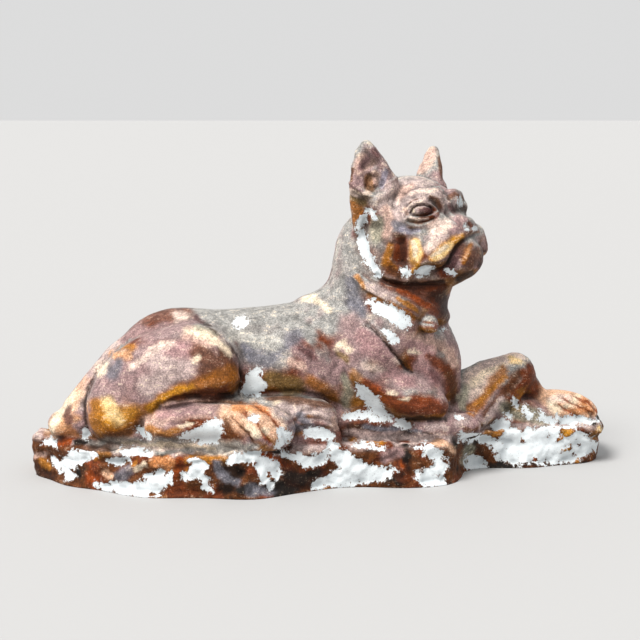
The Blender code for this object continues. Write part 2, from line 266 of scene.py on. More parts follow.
rockPlan = closedCurve(rockCorners)
headAxes = turnOf(-statue["headTurn"], statue["headLift"])
withers = [egg((-9, 2, 111.5), (13, 18, 10), 5)]
rockLip = [limb((259, 20, -8, 6.5), (263, 42, -9, 7), (259, 62, -8, 6.5), blend=4)]
farLid = [egg((26, 27, -1.5), (7, 7.4, 7), 10)]
bodyClay = torso + shoulders + withers + hindquarters + hindFeet + forelegs + neck
earClay = ear(-1.0, 1.03) + ear(1.0, 0.92) + farLid


def rockGap(p):
    edge = 7.0
    down = np.clip(-p[:, 2] / statue["rockTop"], 0.0, 1.0)
    swell = 2.5 * np.sin(p[:, 0] / 17.0 + 1.3 * np.sin(p[:, 1] / 23.0)) * np.cos(p[:, 2] / 13.0)
    lean = 9.0 * down * np.clip((p[:, 0] - 200.0) / 60.0, 0.0, 1.0)
    side = planGap(p, rockPlan) - swell + lean + edge
    level = np.maximum(p[:, 2] + edge, -statue["rockTop"] - 10.0 - p[:, 2])
    outer = np.hypot(np.maximum(side, 0.0), np.maximum(level, 0.0))
    return np.minimum(np.maximum(side, level), 0.0) + outer - edge


def headGap(p):
    q = (p - np.array(statue["headPlace"])) @ headAxes
    half = q.copy()
    half[:, 1] = np.where(q[:, 1] > 0.0, -q[:, 1] / statue["widerLeft"], q[:, 1])
    return fold(earClay, q, fold(head, half))


def fromHead(p):
    return np.linalg.norm(p - np.array(statue["headPlace"]), axis=1)


def clayGap(p):
    found = fold(bodyClay, p)
    near = fromHead(p) < statue["headReach"]
    if near.any():
        found[near] = blendOf(found[near], headGap(p[near]), 10.0)
    return blendOf(found, fold(rockLip, p, rockGap(p)), 5.0)


# The mesh and its points, in the clay's units


def startPiece(name, node):
    piece = bpy.data.objects.new(name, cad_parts[node].data.copy())
    bpy.context.scene.collection.objects.link(piece)
    piece.data.materials.clear()
    bpy.ops.object.select_all(action="DESELECT")
    bpy.context.view_layer.objects.active = piece
    piece.select_set(True)
    bpy.ops.object.mode_set(mode="EDIT")
    bpy.ops.mesh.select_all(action="SELECT")
    bpy.ops.mesh.remove_doubles(threshold=1e-5)
    bpy.ops.object.mode_set(mode="OBJECT")
    return piece


def clayPoints(piece):
    co = np.empty(len(piece.data.vertices) * 3)
    piece.data.vertices.foreach_get("co", co)
    return co.reshape(-1, 3) * 1000.0 + np.array([*statue["middle"], -statue["rockTop"]])


def setPoints(piece, p):
    p[:, 2] = np.maximum(p[:, 2], -statue["rockTop"])
    co = (p - np.array([*statue["middle"], -statue["rockTop"]])) / 1000.0
    piece.data.vertices.foreach_set("co", co.ravel())
    piece.data.update()


def normalsOf(piece):
    n = np.empty(len(piece.data.vertices) * 3)
    piece.data.vertex_normals.foreach_get("vector", n)
    return n.reshape(-1, 3)


def neighboursOf(piece):
    ends = np.empty(len(piece.data.edges) * 2, np.int64)
    piece.data.edges.foreach_get("vertices", ends)
    a, b = ends.reshape(-1, 2).T
    count = np.bincount(ends, minlength=len(piece.data.vertices))

    def average(values):
        sums = [
            np.bincount(a, column[b], len(count)) + np.bincount(b, column[a], len(count))
            for column in values.reshape(len(count), -1).T
        ]
        return (np.stack(sums, 1) / count[:, None]).reshape(values.shape)

    return average


def remesh(piece, cell):
    piece.data.remesh_voxel_size = cell / 1000.0
    bpy.ops.object.voxel_remesh()


# Moves the skin onto the clay, and evens it along itself between the presses
def press(piece, gap, rounds):
    p, average = clayPoints(piece), neighboursOf(piece)
    for turn in range(rounds):
        n = normalsOf(piece)
        p -= n * np.clip(gap(p), -statue["pressStep"], statue["pressStep"])[:, None]
        if turn < rounds - 2:
            ease = 0.5 * (average(p) - p)
            p += ease - 0.8 * n * np.sum(ease * n, axis=1)[:, None]
        setPoints(piece, p)


# Value noise, and the places of points in the photograph


def latticeValue(i, j, k, seed):
    h = (i * 374761393 + j * 668265263 + k * 1442695041 + seed * 1274126177) & 0xFFFFFFFF
    h = ((h ^ (h >> 13)) * 1274126177) & 0xFFFFFFFF
    return ((h ^ (h >> 16)) & 0xFFFF) / 32767.5 - 1.0


def noiseAt(p, size, seed=0, octaves=1):
    total, share = np.zeros(len(p)), 1.0
    for octave in range(octaves):
        q = p / size * 2.0**octave
        cell = np.floor(q).astype(np.int64)
        f = q - cell
        f = f * f * (3.0 - 2.0 * f)
        for corner in range(8):
            step = np.array([corner & 1, corner >> 1 & 1, corner >> 2])
            weight = np.prod(np.where(step, f, 1.0 - f), axis=1)
            total += share * weight * latticeValue(*(cell + step).T, seed + 17 * octave)
        share *= 0.5
    return total


def ramp(value, low, high):
    t = np.clip((value - low) / (high - low), 0.0, 1.0)
    return t * t * (3.0 - 2.0 * t)


def photoCamera():
    tilt = math.radians(photo["tilt"])
    away = np.array([0.0, math.cos(tilt), -math.sin(tilt)])
    up = np.array([0.0, math.sin(tilt), math.cos(tilt)])
    return np.array(photo["aim"]) - photo["distance"] * away, away, up


def toPhoto(p):
    eye, away, up = photoCamera()
    q = p - eye
    depth = q @ away
    across, rise = q[:, 0] / depth, (q @ up) / depth
    return photo["centre"] + photo["focal"] * np.stack([across, -rise], axis=1), depth


# How well the photograph shows each point: it faces the camera, and nothing stands before it
def seenShare(p, n):
    spots, depth = toPhoto(p)
    toEye = photoCamera()[0] - p
    toEye /= np.linalg.norm(toEye, axis=1)[:, None]
    cells = 220
    cell = np.clip(spots / 3.0, 0, cells - 1).astype(np.int64)
    nearest = np.full((cells, cells), 1e9)
    np.minimum.at(nearest, (cell[:, 0], cell[:, 1]), depth)
    behind = depth - nearest[cell[:, 0], cell[:, 1]]
    return ramp(np.sum(n * toEye, axis=1), 0.0, 0.25) * (1.0 - ramp(behind, 12.0, 20.0))


# Points that lie within reach of a chain of (x, y, radius) in the photograph
def nearChain(spots, knots, reach):
    spread = knots[:, 2].max() + reach
    low, high = knots[:, :2].min(0) - spread, knots[:, :2].max(0) + spread
    return np.flatnonzero(np.all((spots > low) & (spots < high), axis=1))


# Carving that only the photograph places: height in mm, half width in pixels, then the line
carving = [
    # near eye, its lids, folds and brow
    (1.8, 1.8, (405, 215), (409, 207), (415, 203), (423, 202), (430, 204), (436, 209)),
    (-1.2, 0.9, (411, 213), (413, 209), (418, 206), (424, 205.4), (430, 207), (434, 211)),
    (-1.2, 1.1, (406, 207), (410, 202), (417, 199), (424, 198.4)),
    (0.9, 3.4, (417, 210.6), (426, 210.6)),
    (2.2, 2.2, (404, 209), (407, 213)),
    (-1.0, 0.9, (411, 214.6), (417, 215.8), (426, 215.2), (433, 213)),
    (1.9, 1.8, (408, 218), (417, 218.8), (426, 218), (434, 215.6), (438, 212)),
    (-1.4, 1.5, (408, 221), (417, 223), (426, 221), (434, 218)),
    (0.9, 1.8, (410, 226), (420, 226.6), (431, 223.4)),
    (1.9, 2.1, (408, 197), (412, 193.6), (419, 191), (429, 190.6), (437, 189.4), (441, 193)),
    (-1.1, 1.6, (405, 194), (411, 189.6), (420, 187), (432, 186.4), (440, 184.6)),
    (-1.3, 1.6, (411, 197.6), (420, 195.4), (427, 196), (430, 200)),
    (1.7, 3.4, (431, 196), (437, 199), (441, 206)),
    (-1.3, 1.5, (431, 201), (436, 207), (440, 212)),
    (0.7, 1.8, (402, 190), (412, 184), (424, 181), (436, 181)),
    (-1.6, 2.4, (446, 193), (446, 203), (447, 212)),
    (-0.7, 1.6, (404, 224), (413, 230), (426, 230), (438, 226)),
    (-0.6, 1.3, (396, 192), (393, 205), (395, 220)),
    (-0.5, 1.3, (390, 196), (387, 208), (389, 222)),
    (0.6, 1.6, (400, 196), (398, 206), (400, 216)),
    # nose and muzzle
    (-1.2, 1.7, (446, 213), (450, 218), (457, 222), (463, 230)),
    (0.9, 2.2, (452, 215), (460, 217), (467, 220)),
    (-1.8, 1.8, (469, 223), (471, 227)),
    (-1.0, 1.5, (476, 228), (469, 231), (462, 233)),
    (1.8, 3.2, (472, 230), (464, 235), (456, 241), (450, 249), (446, 256), (438, 261), (428, 261)),
    (-1.6, 1.8, (478, 233), (468, 237), (461, 241), (455, 247), (451, 254), (448, 262),
     (443, 268), (435, 271)),
    (1.6, 2.2, (424, 262), (417, 266), (412, 272), (411, 278)),
    (-1.4, 1.8, (403, 262), (406, 270), (407, 278)),
    (-1.4, 1.8, (434, 266), (421, 268), (415, 276)),
    (-2.0, 6.5, (401, 243), (401, 252), (400, 261)),
    (1.6, 2.4, (408, 240), (409, 250), (408, 260)),
    (1.2, 2.6, (391, 240), (388, 252), (391, 264)),
    (1.2, 2.6, (393, 233), (404, 235), (416, 235), (424, 232)),
    (1.6, 3.6, (414, 243), (416, 252), (418, 262)),
    (1.2, 3.5, (470, 246), (467, 256), (462, 265)),
    (-1.1, 2.6, (457, 259), (454, 270), (458, 280)),
    (-0.9, 2.6, (479, 250), (477, 266)),
    # jaw and ear
    (1.4, 3.0, (384, 275), (400, 281), (420, 281), (442, 279)),
    (-2.2, 2.4, (377, 275), (388, 284), (404, 287), (424, 287), (444, 286)),
    (1.0, 3.0, (382, 285), (398, 291), (416, 297), (432, 303)),
    (-1.2, 2.4, (374, 287), (392, 297), (410, 306), (426, 314)),
    (1.2, 3.0, (379, 196), (373, 212), (373, 230), (375, 248), (381, 264)),
    (-1.8, 2.8, (367, 212), (364, 232), (367, 250), (374, 268)),
    (1.0, 1.6, (361, 172), (362, 186), (368, 193)),
    (1.0, 1.6, (380, 172), (381, 184), (376, 192)),
    (3.4, 3.6, (374, 172), (375, 184)),
    (-0.9, 1.4, (366, 178), (365, 189)),
    (-0.9, 1.4, (374, 176), (375, 187)),
    (1.4, 1.8, (350, 183), (357, 188), (365, 193.6), (373, 194), (383, 188), (396, 178)),
    (-1.2, 2.2, (354, 194), (364, 199), (376, 198)),
    (-1.2, 4.0, (370, 158), (364, 166)),
    (1.0, 2.0, (372, 148), (379, 158), (387, 168)),
    (-1.4, 3.8, (360, 200), (360, 212)),
    (0.7, 2.4, (351, 196), (352, 212), (355, 230)),
    (0.6, 2.2, (372, 196), (371, 210)),
    # neck and withers
    (-0.9, 3.0, (345, 250), (351, 276), (362, 300)),
    (-0.7, 2.4, (338, 268), (345, 286), (354, 303)),
    (1.4, 4.0, (300, 306), (307, 299), (320, 293)),
    (-1.2, 3.0, (306, 312), (318, 303), (334, 300), (346, 303)),
    (0.9, 3.0, (312, 318), (326, 309), (340, 311)),
    (-1.6, 3.6, (298, 316), (314, 328), (328, 346), (336, 366)),
    (1.2, 4.5, (288, 328), (306, 340), (318, 356), (324, 374)),
    (-1.2, 3.4, (288, 346), (300, 344), (310, 354), (314, 372)),
    # collar and bell
    (1.2, 2.0, (352, 276), (366, 289), (384, 299), (402, 309), (420, 318)),
    (-1.2, 1.8, (356, 270), (372, 283), (392, 293), (412, 302), (428, 312)),
    (1.0, 1.6, (372, 279), (392, 288), (414, 297), (432, 306)),
    (-1.4, 1.3, (423, 323), (433, 324)),
    (-1.0, 1.3, (428, 324), (428, 330)),
    (1.2, 2.4, (436, 330), (442, 338), (441, 347)),
    # shoulder, breast and elbow
    (1.2, 5.5, (346, 318), (360, 326), (374, 340), (392, 362), (404, 378)),
    (-2.4, 1.7, (366, 323), (376, 331), (386, 343), (396, 356), (405, 366), (412, 372)),
    (1.0, 3.0, (424, 366), (434, 379), (444, 392)),
    (1.3, 2.6, (372, 325), (384, 336), (396, 350)),
    (-0.9, 3.5, (424, 338), (432, 358), (441, 384)),
    (1.0, 5.0, (455, 344), (459, 366), (456, 392)),
    (1.4, 4.5, (338, 346), (350, 362), (370, 380)),
    (-1.2, 3.6, (344, 372), (354, 386), (372, 400), (388, 410)),
    (0.8, 4.5, (352, 374), (376, 390), (402, 399), (430, 402)),
    (-0.8, 3.2, (380, 396), (404, 402), (436, 405)),
    (1.2, 4.0, (376, 406), (400, 412), (436, 414)),
    (-1.2, 3.0, (266, 392), (300, 392), (325, 398), (348, 408)),
    # thigh, hock and rump
    (-1.6, 2.2, (204, 325), (226, 340), (238, 359), (242, 378), (237, 395)),
    (1.5, 4.5, (146, 414), (163, 400), (190, 390), (215, 385), (237, 380)),
    (3.0, 3.6, (166, 404), (184, 401), (206, 400), (228, 402)),
    (-1.8, 1.8, (148, 421), (158, 404), (178, 397), (205, 394.4), (234, 395)),
    (-1.4, 2.2, (96, 370), (87, 394), (85, 415), (88, 434)),
    (-0.8, 3.5, (206, 322), (190, 318), (172, 320), (150, 332)),
    (0.8, 5.0, (150, 338), (180, 332), (210, 338)),
    (-0.6, 6.0, (110, 372), (130, 392), (160, 388)),
    (0.8, 3.0, (156, 412), (190, 413), (222, 407)),
    (-0.9, 2.6, (160, 423), (192, 424), (220, 416)),
    # near hind paw, fanned
    (-2.2, 1.8, (256, 405), (272, 418), (284, 434), (288, 447)),
    (-2.2, 1.8, (244, 410), (259, 426), (270, 443)),
    (-2.0, 1.8, (234, 417), (246, 432), (255, 447)),
    (0.9, 2.2, (262, 405), (278, 420), (290, 434)),
    (0.9, 2.2, (250, 407), (266, 421), (279, 440)),
    (0.9, 2.2, (239, 413), (253, 428), (263, 445)),
    (-1.0, 1.6, (276, 427), (282, 424)),
    (-1.0, 1.6, (264, 434), (270, 431)),
    # far hind paw, its toes one above the other
    (-1.5, 1.5, (304, 411), (318, 410), (330, 415), (338, 423)),
    (-1.5, 1.5, (304, 418), (320, 419), (332, 423), (339, 430)),
    (-1.5, 1.5, (302, 427), (320, 427), (333, 430), (339, 436)),
    (0.9, 2.0, (304, 406), (320, 406), (332, 411)),
    (0.9, 2.0, (305, 414), (320, 414), (333, 419)),
    (0.9, 2.0, (304, 423), (320, 423), (334, 426)),
    (-1.4, 2.2, (304, 408), (300, 418), (290, 424)),
    # raised foreleg and its paw
    (1.3, 3.0, (510, 358), (495, 377), (481, 398), (467, 416)),
    (-1.2, 3.0, (522, 374), (506, 393), (492, 414)),
    (0.8, 3.0, (503, 397), (494, 410), (486, 424)),
    (-1.3, 3.0, (540, 392), (534, 384), (520, 394)),
    (-2.2, 1.8, (562, 397), (577, 404), (592, 415)),
    (-2.2, 1.8, (556, 404), (570, 411), (580, 419)),
    (-2.0, 1.8, (574, 395), (589, 402), (599, 413)),
    (0.9, 2.2, (560, 400), (576, 407), (588, 417)),
    (0.9, 2.2, (569, 396), (584, 403), (596, 414)),
    # ledges of the rock
    (1.6, 3.0, (36, 446), (60, 450), (90, 452), (120, 456)),
    (-1.8, 3.0, (40, 456), (66, 460), (96, 463), (126, 462)),
    (1.8, 4.0, (110, 480), (126, 470), (146, 462)),
    (-1.6, 3.5, (150, 474), (176, 470), (200, 462)),
    (1.4, 4.0, (222, 452), (252, 456), (280, 452)),
    (-2.2, 4.0, (216, 470), (246, 474), (262, 492)),
    (-1.6, 3.0, (284, 458), (300, 472), (318, 476), (330, 468)),
    (1.4, 4.0, (320, 452), (344, 446), (380, 446)),
    (-1.4, 3.5, (376, 462), (392, 458), (410, 466), (412, 480)),
    (1.4, 4.0, (424, 446), (446, 448), (456, 462)),
    (-2.4, 3.0, (458, 440), (460, 456), (462, 474)),
    (1.6, 3.0, (482, 434), (500, 430), (518, 432)),
    (-1.8, 3.0, (484, 442), (504, 440), (520, 446)),
    (-2.0, 3.5, (498, 470), (506, 452), (512, 440)),
    (1.8, 3.0, (586, 432), (598, 430), (606, 436), (600, 443), (588, 441)),
    (-1.6, 2.2, (590, 437), (600, 437)),
    (1.8, 3.0, (508, 398), (516, 410), (530, 416)),
    (-1.6, 2.5, (502, 404), (512, 416), (526, 420)),
    (1.4, 2.6, (520, 400), (532, 408), (548, 416)),
]


def carvedHeight(spots):
    height = np.zeros(len(spots))
    for tall, width, *line in carving:
        knots = np.array([(*point, 0.0) for point in line])
        near = nearChain(spots, knots, 2.4 * width)    # past that the bell curve is flat
        height[near] += tall * np.exp(-((chainGap(spots[near], knots) / width) ** 2))
    return height


# Patches where the paint has come off, as chains of (x, y, radius) in the photograph
barePatches = [
    # on the dog
    ((237, 322, 4), (241, 322, 6), (245, 322, 4)),
    ((256, 372, 5), (252, 381, 8), (260, 386, 6), (249, 389, 6), (257, 393, 4)),
    ((368, 301, 3), (378, 307, 5.5), (390, 313, 7), (400, 319, 7), (406, 324, 5)),
    ((384, 331, 3), (390, 335, 4), (394, 340, 3.5)),
    ((357, 386, 3), (362, 393, 5), (370, 399, 7), (375, 407, 6), (381, 413, 5)),
    ((346, 417, 3), (358, 414, 3.5), (368, 416, 4), (380, 419, 4), (389, 418, 3)),
    ((399, 423, 3), (406, 425, 3), (412, 427, 2)),
    ((182, 438, 2.5), (190, 436, 4), (198, 434, 5), (207, 431, 6), (213, 427, 6), (218, 421, 4)),
    ((220, 431, 4), (214, 438, 5), (203, 439, 4)),
    ((140, 430, 3), (144, 434, 4), (149, 438, 2.5)),
    ((84, 430, 2.5), (86, 436, 3)),
    ((250, 417, 2.6), (255, 419, 3.4)),
    ((281, 433, 4), (288, 434, 4.5), (284, 441, 5), (279, 447, 3)),
    ((308, 433, 3.5), (317, 434, 5), (326, 434, 4.5), (332, 437, 2.5)),
    ((457, 416, 1.6), (460, 419, 2)),
    # on the head and beside it
    ((368, 210, 1.2), (373, 213.4, 2.2), (376, 217, 1.4)),
    ((364, 216, 1.8), (361, 221, 2.8), (359.6, 228, 3.2), (361, 236, 3.8), (362, 244, 4.4)),
    ((362, 244, 4.6), (364, 251, 4), (368, 258, 4), (372, 265, 3.6), (376, 270, 3.6), (380, 275, 2.4)),
    ((404, 271, 3), (407, 275, 3)),
    ((418, 274, 2.4), (425, 270.5, 4), (432, 268, 2)),
    ((446, 270, 1.2), (450, 274, 2.2), (454, 274, 1.4)),
    ((466, 226, 1.6), (469, 229, 1.2)),
    ((474, 229, 1.6), (476, 227, 1)),
    ((459, 200, 2.2), (460, 204, 1.4)),
    ((439, 328, 1.8), (442, 329, 1.4)),
    # along the rock, from the left
    ((42, 442, 3), (50, 442, 4), (54, 446, 2.5)),
    ((50, 461, 2), (58, 464, 5), (68, 462, 8), (80, 456, 7), (92, 456, 4)),
    ((64, 470, 6), (68, 478, 3.5)),
    ((124, 450, 3.5), (134, 451, 4), (146, 452, 3.5)),
    ((110, 463, 2), (120, 463, 3), (128, 461, 2)),
    ((98, 485, 2.5), (110, 488, 4), (125, 490, 6), (140, 489, 8), (154, 487, 9), (166, 481, 7)),
    ((148, 482, 6), (160, 476, 5)),
    ((196, 460, 6), (200, 468, 6), (192, 475, 6), (184, 476, 3)),
    ((204, 480, 5), (208, 488, 3)),
    ((233, 460, 4), (245, 457, 5), (258, 456, 5), (270, 463, 7), (276, 471, 6)),
    ((262, 466, 5), (266, 478, 5), (272, 485, 3)),
    ((288, 453, 4), (298, 459, 6), (308, 463, 6), (318, 460, 6), (325, 454, 4)),
    ((331, 447, 5), (338, 453, 8), (346, 463, 10), (352, 472, 11), (366, 474, 10), (379, 476, 8)),
    ((379, 476, 8), (389, 474, 5), (393, 470, 4)),
    ((342, 476, 10), (328, 482, 5), (316, 484, 3)),
    ((357, 444, 3), (368, 446, 3.5), (378, 447, 3), (386, 446, 1.6)),
    ((415, 446, 3), (424, 446, 3.4), (431, 453, 5), (438, 459, 6), (445, 466, 6)),
    ((438, 475, 8), (428, 478, 8), (420, 478, 5)),
    ((444, 481, 4), (432, 484, 4)),
    ((462, 437, 4), (476, 438, 4), (490, 442, 5), (500, 448, 7)),
    ((474, 460, 5), (480, 466, 5), (472, 466, 3)),
    ((514, 440, 12), (530, 446, 16), (548, 446, 20), (568, 444, 18), (584, 444, 12), (594, 446, 7)),
    ((506, 456, 8), (516, 460, 7)),
    ((558, 418, 2.5), (570, 420, 3.5), (584, 420, 3.5), (597, 422, 2.5)),
    ((513, 400, 2), (517, 405, 2.6)),
    ((524, 408, 2.4), (529, 415, 3)),
    ((538, 411, 2), (544, 417, 3.4), (552, 421, 3)),
    ((506, 414, 2), (510, 417, 2)),
    ((497, 424, 4), (508, 423, 3)),
]

# Islands of paint left inside them
keptPatches = [
    ((262, 456, 2), (270, 456, 2.6), (275, 459, 2)),
    ((90, 466, 3), (84, 472, 4)),
    ((338, 446, 1.6), (342, 450, 1.4)),
    ((372, 466, 1.4), (377, 470, 1.6)),
    ((438, 477, 2), (450, 474, 3)),
    ((442, 452, 2), (446, 458, 2)),
    ((491, 452, 2.4), (494, 458, 2.6)),
    ((484, 464, 2.4), (492, 462, 3)),
    ((524, 440, 1.8), (523, 443, 1.6)),
    ((549, 433, 1.6), (549, 438, 1.2)),
    ((536, 459, 3), (540, 462, 2)),
    ((562, 430, 2.4), (569, 434, 4), (573, 430, 3)),
    ((563, 450, 2.6), (568, 449, 2.4)),
    ((590, 435, 3), (598, 431, 2.6), (604, 434, 2.6), (600, 441, 2)),
    ((586, 462, 2.4), (590, 456, 2)),
    ((482, 472, 2.4), (500, 469, 2.6), (520, 466, 2.4), (540, 465, 2), (566, 465, 1.4)),
    ((508, 446, 1.4), (510, 452, 1.6)),
    ((556, 442, 1.6), (560, 438, 1.4)),
    ((578, 440, 1.6), (581, 446, 1.4)),
    ((576, 456, 1.8), (582, 458, 1.6)),
]

# Chips on the sides that the photograph doesn't show: chains of (x, y, z, radius) in the clay's units
hiddenChips = [
    ((-140, 62, 70, 6), (-128, 64, 66, 8), (-120, 66, 60, 5)),
    ((-60, 52, 92, 5), (-52, 54, 88, 7)),
    ((6, 60, 46, 9), (14, 60, 38, 7), (10, 60, 30, 5)),
    ((60, 52, 84, 5), (68, 52, 78, 6)),
    ((-196, 20, 44, 6), (-202, 14, 36, 7)),
    ((20, 84, 14, 6), (26, 80, 8, 6)),
    ((-40, 92, 14, 7), (-30, 92, 8, 6)),
    ((104, 46, 40, 6), (110, 42, 32, 8)),
    ((150, 48, 30, 6), (162, 50, 28, 5)),
    ((232, 64, 10, 6), (244, 62, 8, 6)),
    ((64, 34, 196, 5), (58, 32, 184, 6), (54, 28, 172, 5)),
    ((18, -4, 124, 5), (24, 2, 124, 6)),
    ((-150, 6, 100, 5), (-142, 10, 102, 6)),
    ((40, 4, 214, 4), (38, 2, 206, 5)),
]


chips = {
    "furthest": 9.0,           # depths are cut off here, in pixels
    "wider": 0.5,
    "ragged": (6.0, 1.6, 1.8),    # size of the noise in mm, its strength, and how much more on the rock
    "fineRagged": (2.0, 0.8),
    "step": (0.7, 0.5),        # thickness of the paint in mm, and how much more on the rock
}


# How far each point lies inside a bare patch: about pixels, less than nothing where paint is left
def bareDepth(p, n, spots, seen):
    furthest = chips["furthest"]
    found = np.full(len(p), -furthest)
    for patch in barePatches:
        knots = np.array(patch, float)
        near = nearChain(spots, knots, furthest)
        found[near] = np.maximum(found[near], -chainGap(spots[near], knots))
    for patch in keptPatches:
        knots = np.array(patch, float)
        near = nearChain(spots, knots, furthest)
        found[near] = np.minimum(found[near], chainGap(spots[near], knots))
    hidden = np.full(len(p), -furthest)
    for patch in hiddenChips:
        hidden = np.maximum(hidden, -chainGap(p, np.array(patch, float)))
    side = ramp(-p[:, 2], -1.0, 4.0) * (1.0 - ramp(np.abs(n[:, 2]), 0.8, 0.95))
    crag = 26.0 * noiseAt(p, 30.0, 5, 2) + 7.0 * noiseAt(p, 9.0, 6, 2) - 3.0
    hidden = np.maximum(hidden, np.clip(crag - 30.0 * (1.0 - side), -furthest, furthest))
    found = np.where(seen > 0.25, found, hidden) + chips["wider"]
    size, strength, onRock = chips["ragged"]
    found += (strength + onRock * ramp(-p[:, 2], -2.0, 2.0)) * noiseAt(p, size, 7, 2)
    size, strength = chips["fineRagged"]
    found += strength * noiseAt(p, size, 8)
    return np.clip(found, -furthest, furthest)


piece = startPiece("statue", statue["node"])
remesh(piece, statue["firstCell"])
press(piece, clayGap, 6)
remesh(piece, statue["cell"])
press(piece, clayGap, 6)
print("clay pressed:", len(piece.data.vertices), "points")


# Cuts the faces of the head in four, so that lids and folds have edges enough
def refineHead(piece):
    close = fromHead(clayPoints(piece)) < statue["fineReach"]
    ends = np.empty(len(piece.data.polygons) * 4, np.int64)
    piece.data.polygons.foreach_get("vertices", ends)
    chosen = close[ends.reshape(-1, 4)].all(axis=1)
    bpy.ops.object.mode_set(mode="EDIT")
    bpy.ops.mesh.select_all(action="DESELECT")
    bpy.ops.object.mode_set(mode="OBJECT")
    piece.data.polygons.foreach_set("select", chosen)
    bpy.ops.object.mode_set(mode="EDIT")
    bpy.ops.mesh.select_mode(type="FACE")
    bpy.ops.mesh.subdivide(number_cuts=1)
    bpy.ops.object.mode_set(mode="OBJECT")


refineHead(piece)
press(piece, clayGap, 4)
print("head refined:", len(piece.data.vertices), "points")


def keepValues(piece, name, values):
    layer = piece.data.attributes.new(name, "FLOAT", "POINT")
    layer.data.foreach_set("value", np.ascontiguousarray(values, np.float32))


# Rock crags and brush marks everywhere, the photograph's carving where it shows, and the chips' edges
def carve(piece):
    p, n = clayPoints(piece), normalsOf(piece)
    spots = toPhoto(p)[0]
    seen = seenShare(p, n)
    bare = bareDepth(p, n, spots, seen)
    keepValues(piece, "bare", bare)
    low = p[:, 2] + statue["rockTop"]
    rock = ramp(-p[:, 2], -3.0, 1.0)
    crag = 2.4 * noiseAt(p, 24.0, 1, 2) + 1.6 * noiseAt(p, 8.5, 2, 3)
    brush = 0.35 * noiseAt(p * np.array([0.6, 1.0, 1.4]), 9.0, 3, 2) + 0.14 * noiseAt(p, 3.0, 4)
    height = seen * carvedHeight(spots) + rock * (crag - 1.0) + (1.0 - rock) * brush
    height -= (chips["step"][0] + chips["step"][1] * rock) * ramp(bare, -0.5, 0.7)
    height *= ramp(low, 0.0, 5.0)    # the lowest edge stays on the floor
    p += n * height[:, None]
    setPoints(piece, p)


carve(piece)
print("carved")


# Stores how far each point stands proud of a smoothed skin, in mm; the head's mesh is finer
def keepForms(piece):
    p, n, average = clayPoints(piece), normalsOf(piece), neighboursOf(piece)
    fine = fromHead(p)[:, None] < statue["fineReach"]
    soft = p.copy()
    for turn in range(56):
        soft = np.where(fine | (turn < 14), average(soft), soft)
    proud = np.sum((p - soft) * n, axis=1)
    for turn in range(2):
        proud = average(proud[:, None])[:, 0]
    keepValues(piece, "proud", proud)


keepForms(piece)


def thinOut(piece, triangles):
    faces = sum(len(polygon.vertices) - 2 for polygon in piece.data.polygons)
    if faces > triangles:
        thinner = piece.modifiers.new("thinner", "DECIMATE")
        thinner.ratio = triangles / faces
        thinner.use_collapse_triangulate = True
        bpy.ops.object.modifier_apply(modifier=thinner.name)


thinOut(piece, statue["triangles"])
bpy.ops.object.shade_smooth()
print("thinned to", len(piece.data.polygons), "faces")


# Paint: colours as they look, and the strokes that lay them on
palette = {
    "dust": (156, 154, 150), "paleDust": (178, 175, 168), "slate": (112, 110, 118),
    "lilac": (158, 152, 166), "mauve": (154, 125, 124), "rosy": (170, 132, 132),
    "plum": (92, 58, 58), "greyMauve": (192, 170, 165),
    "pinkClay": (206, 170, 155), "palePink": (228, 202, 188), "cream": (240, 220, 192),
    "butter": (244, 208, 146), "gold": (208, 142, 32), "deepGold": (156, 92, 10), "ochre": (172, 110, 34),
    "olive": (116, 92, 52), "tan": (196, 142, 98), "orange": (206, 134, 80), "peach": (230, 182, 148),
    "rust": (138, 60, 12), "redBrown": (106, 48, 18), "brown": (92, 50, 20), "darkBrown": (48, 22, 10),
    "nearBlack": (30, 23, 19), "moss": (158, 154, 134),
}

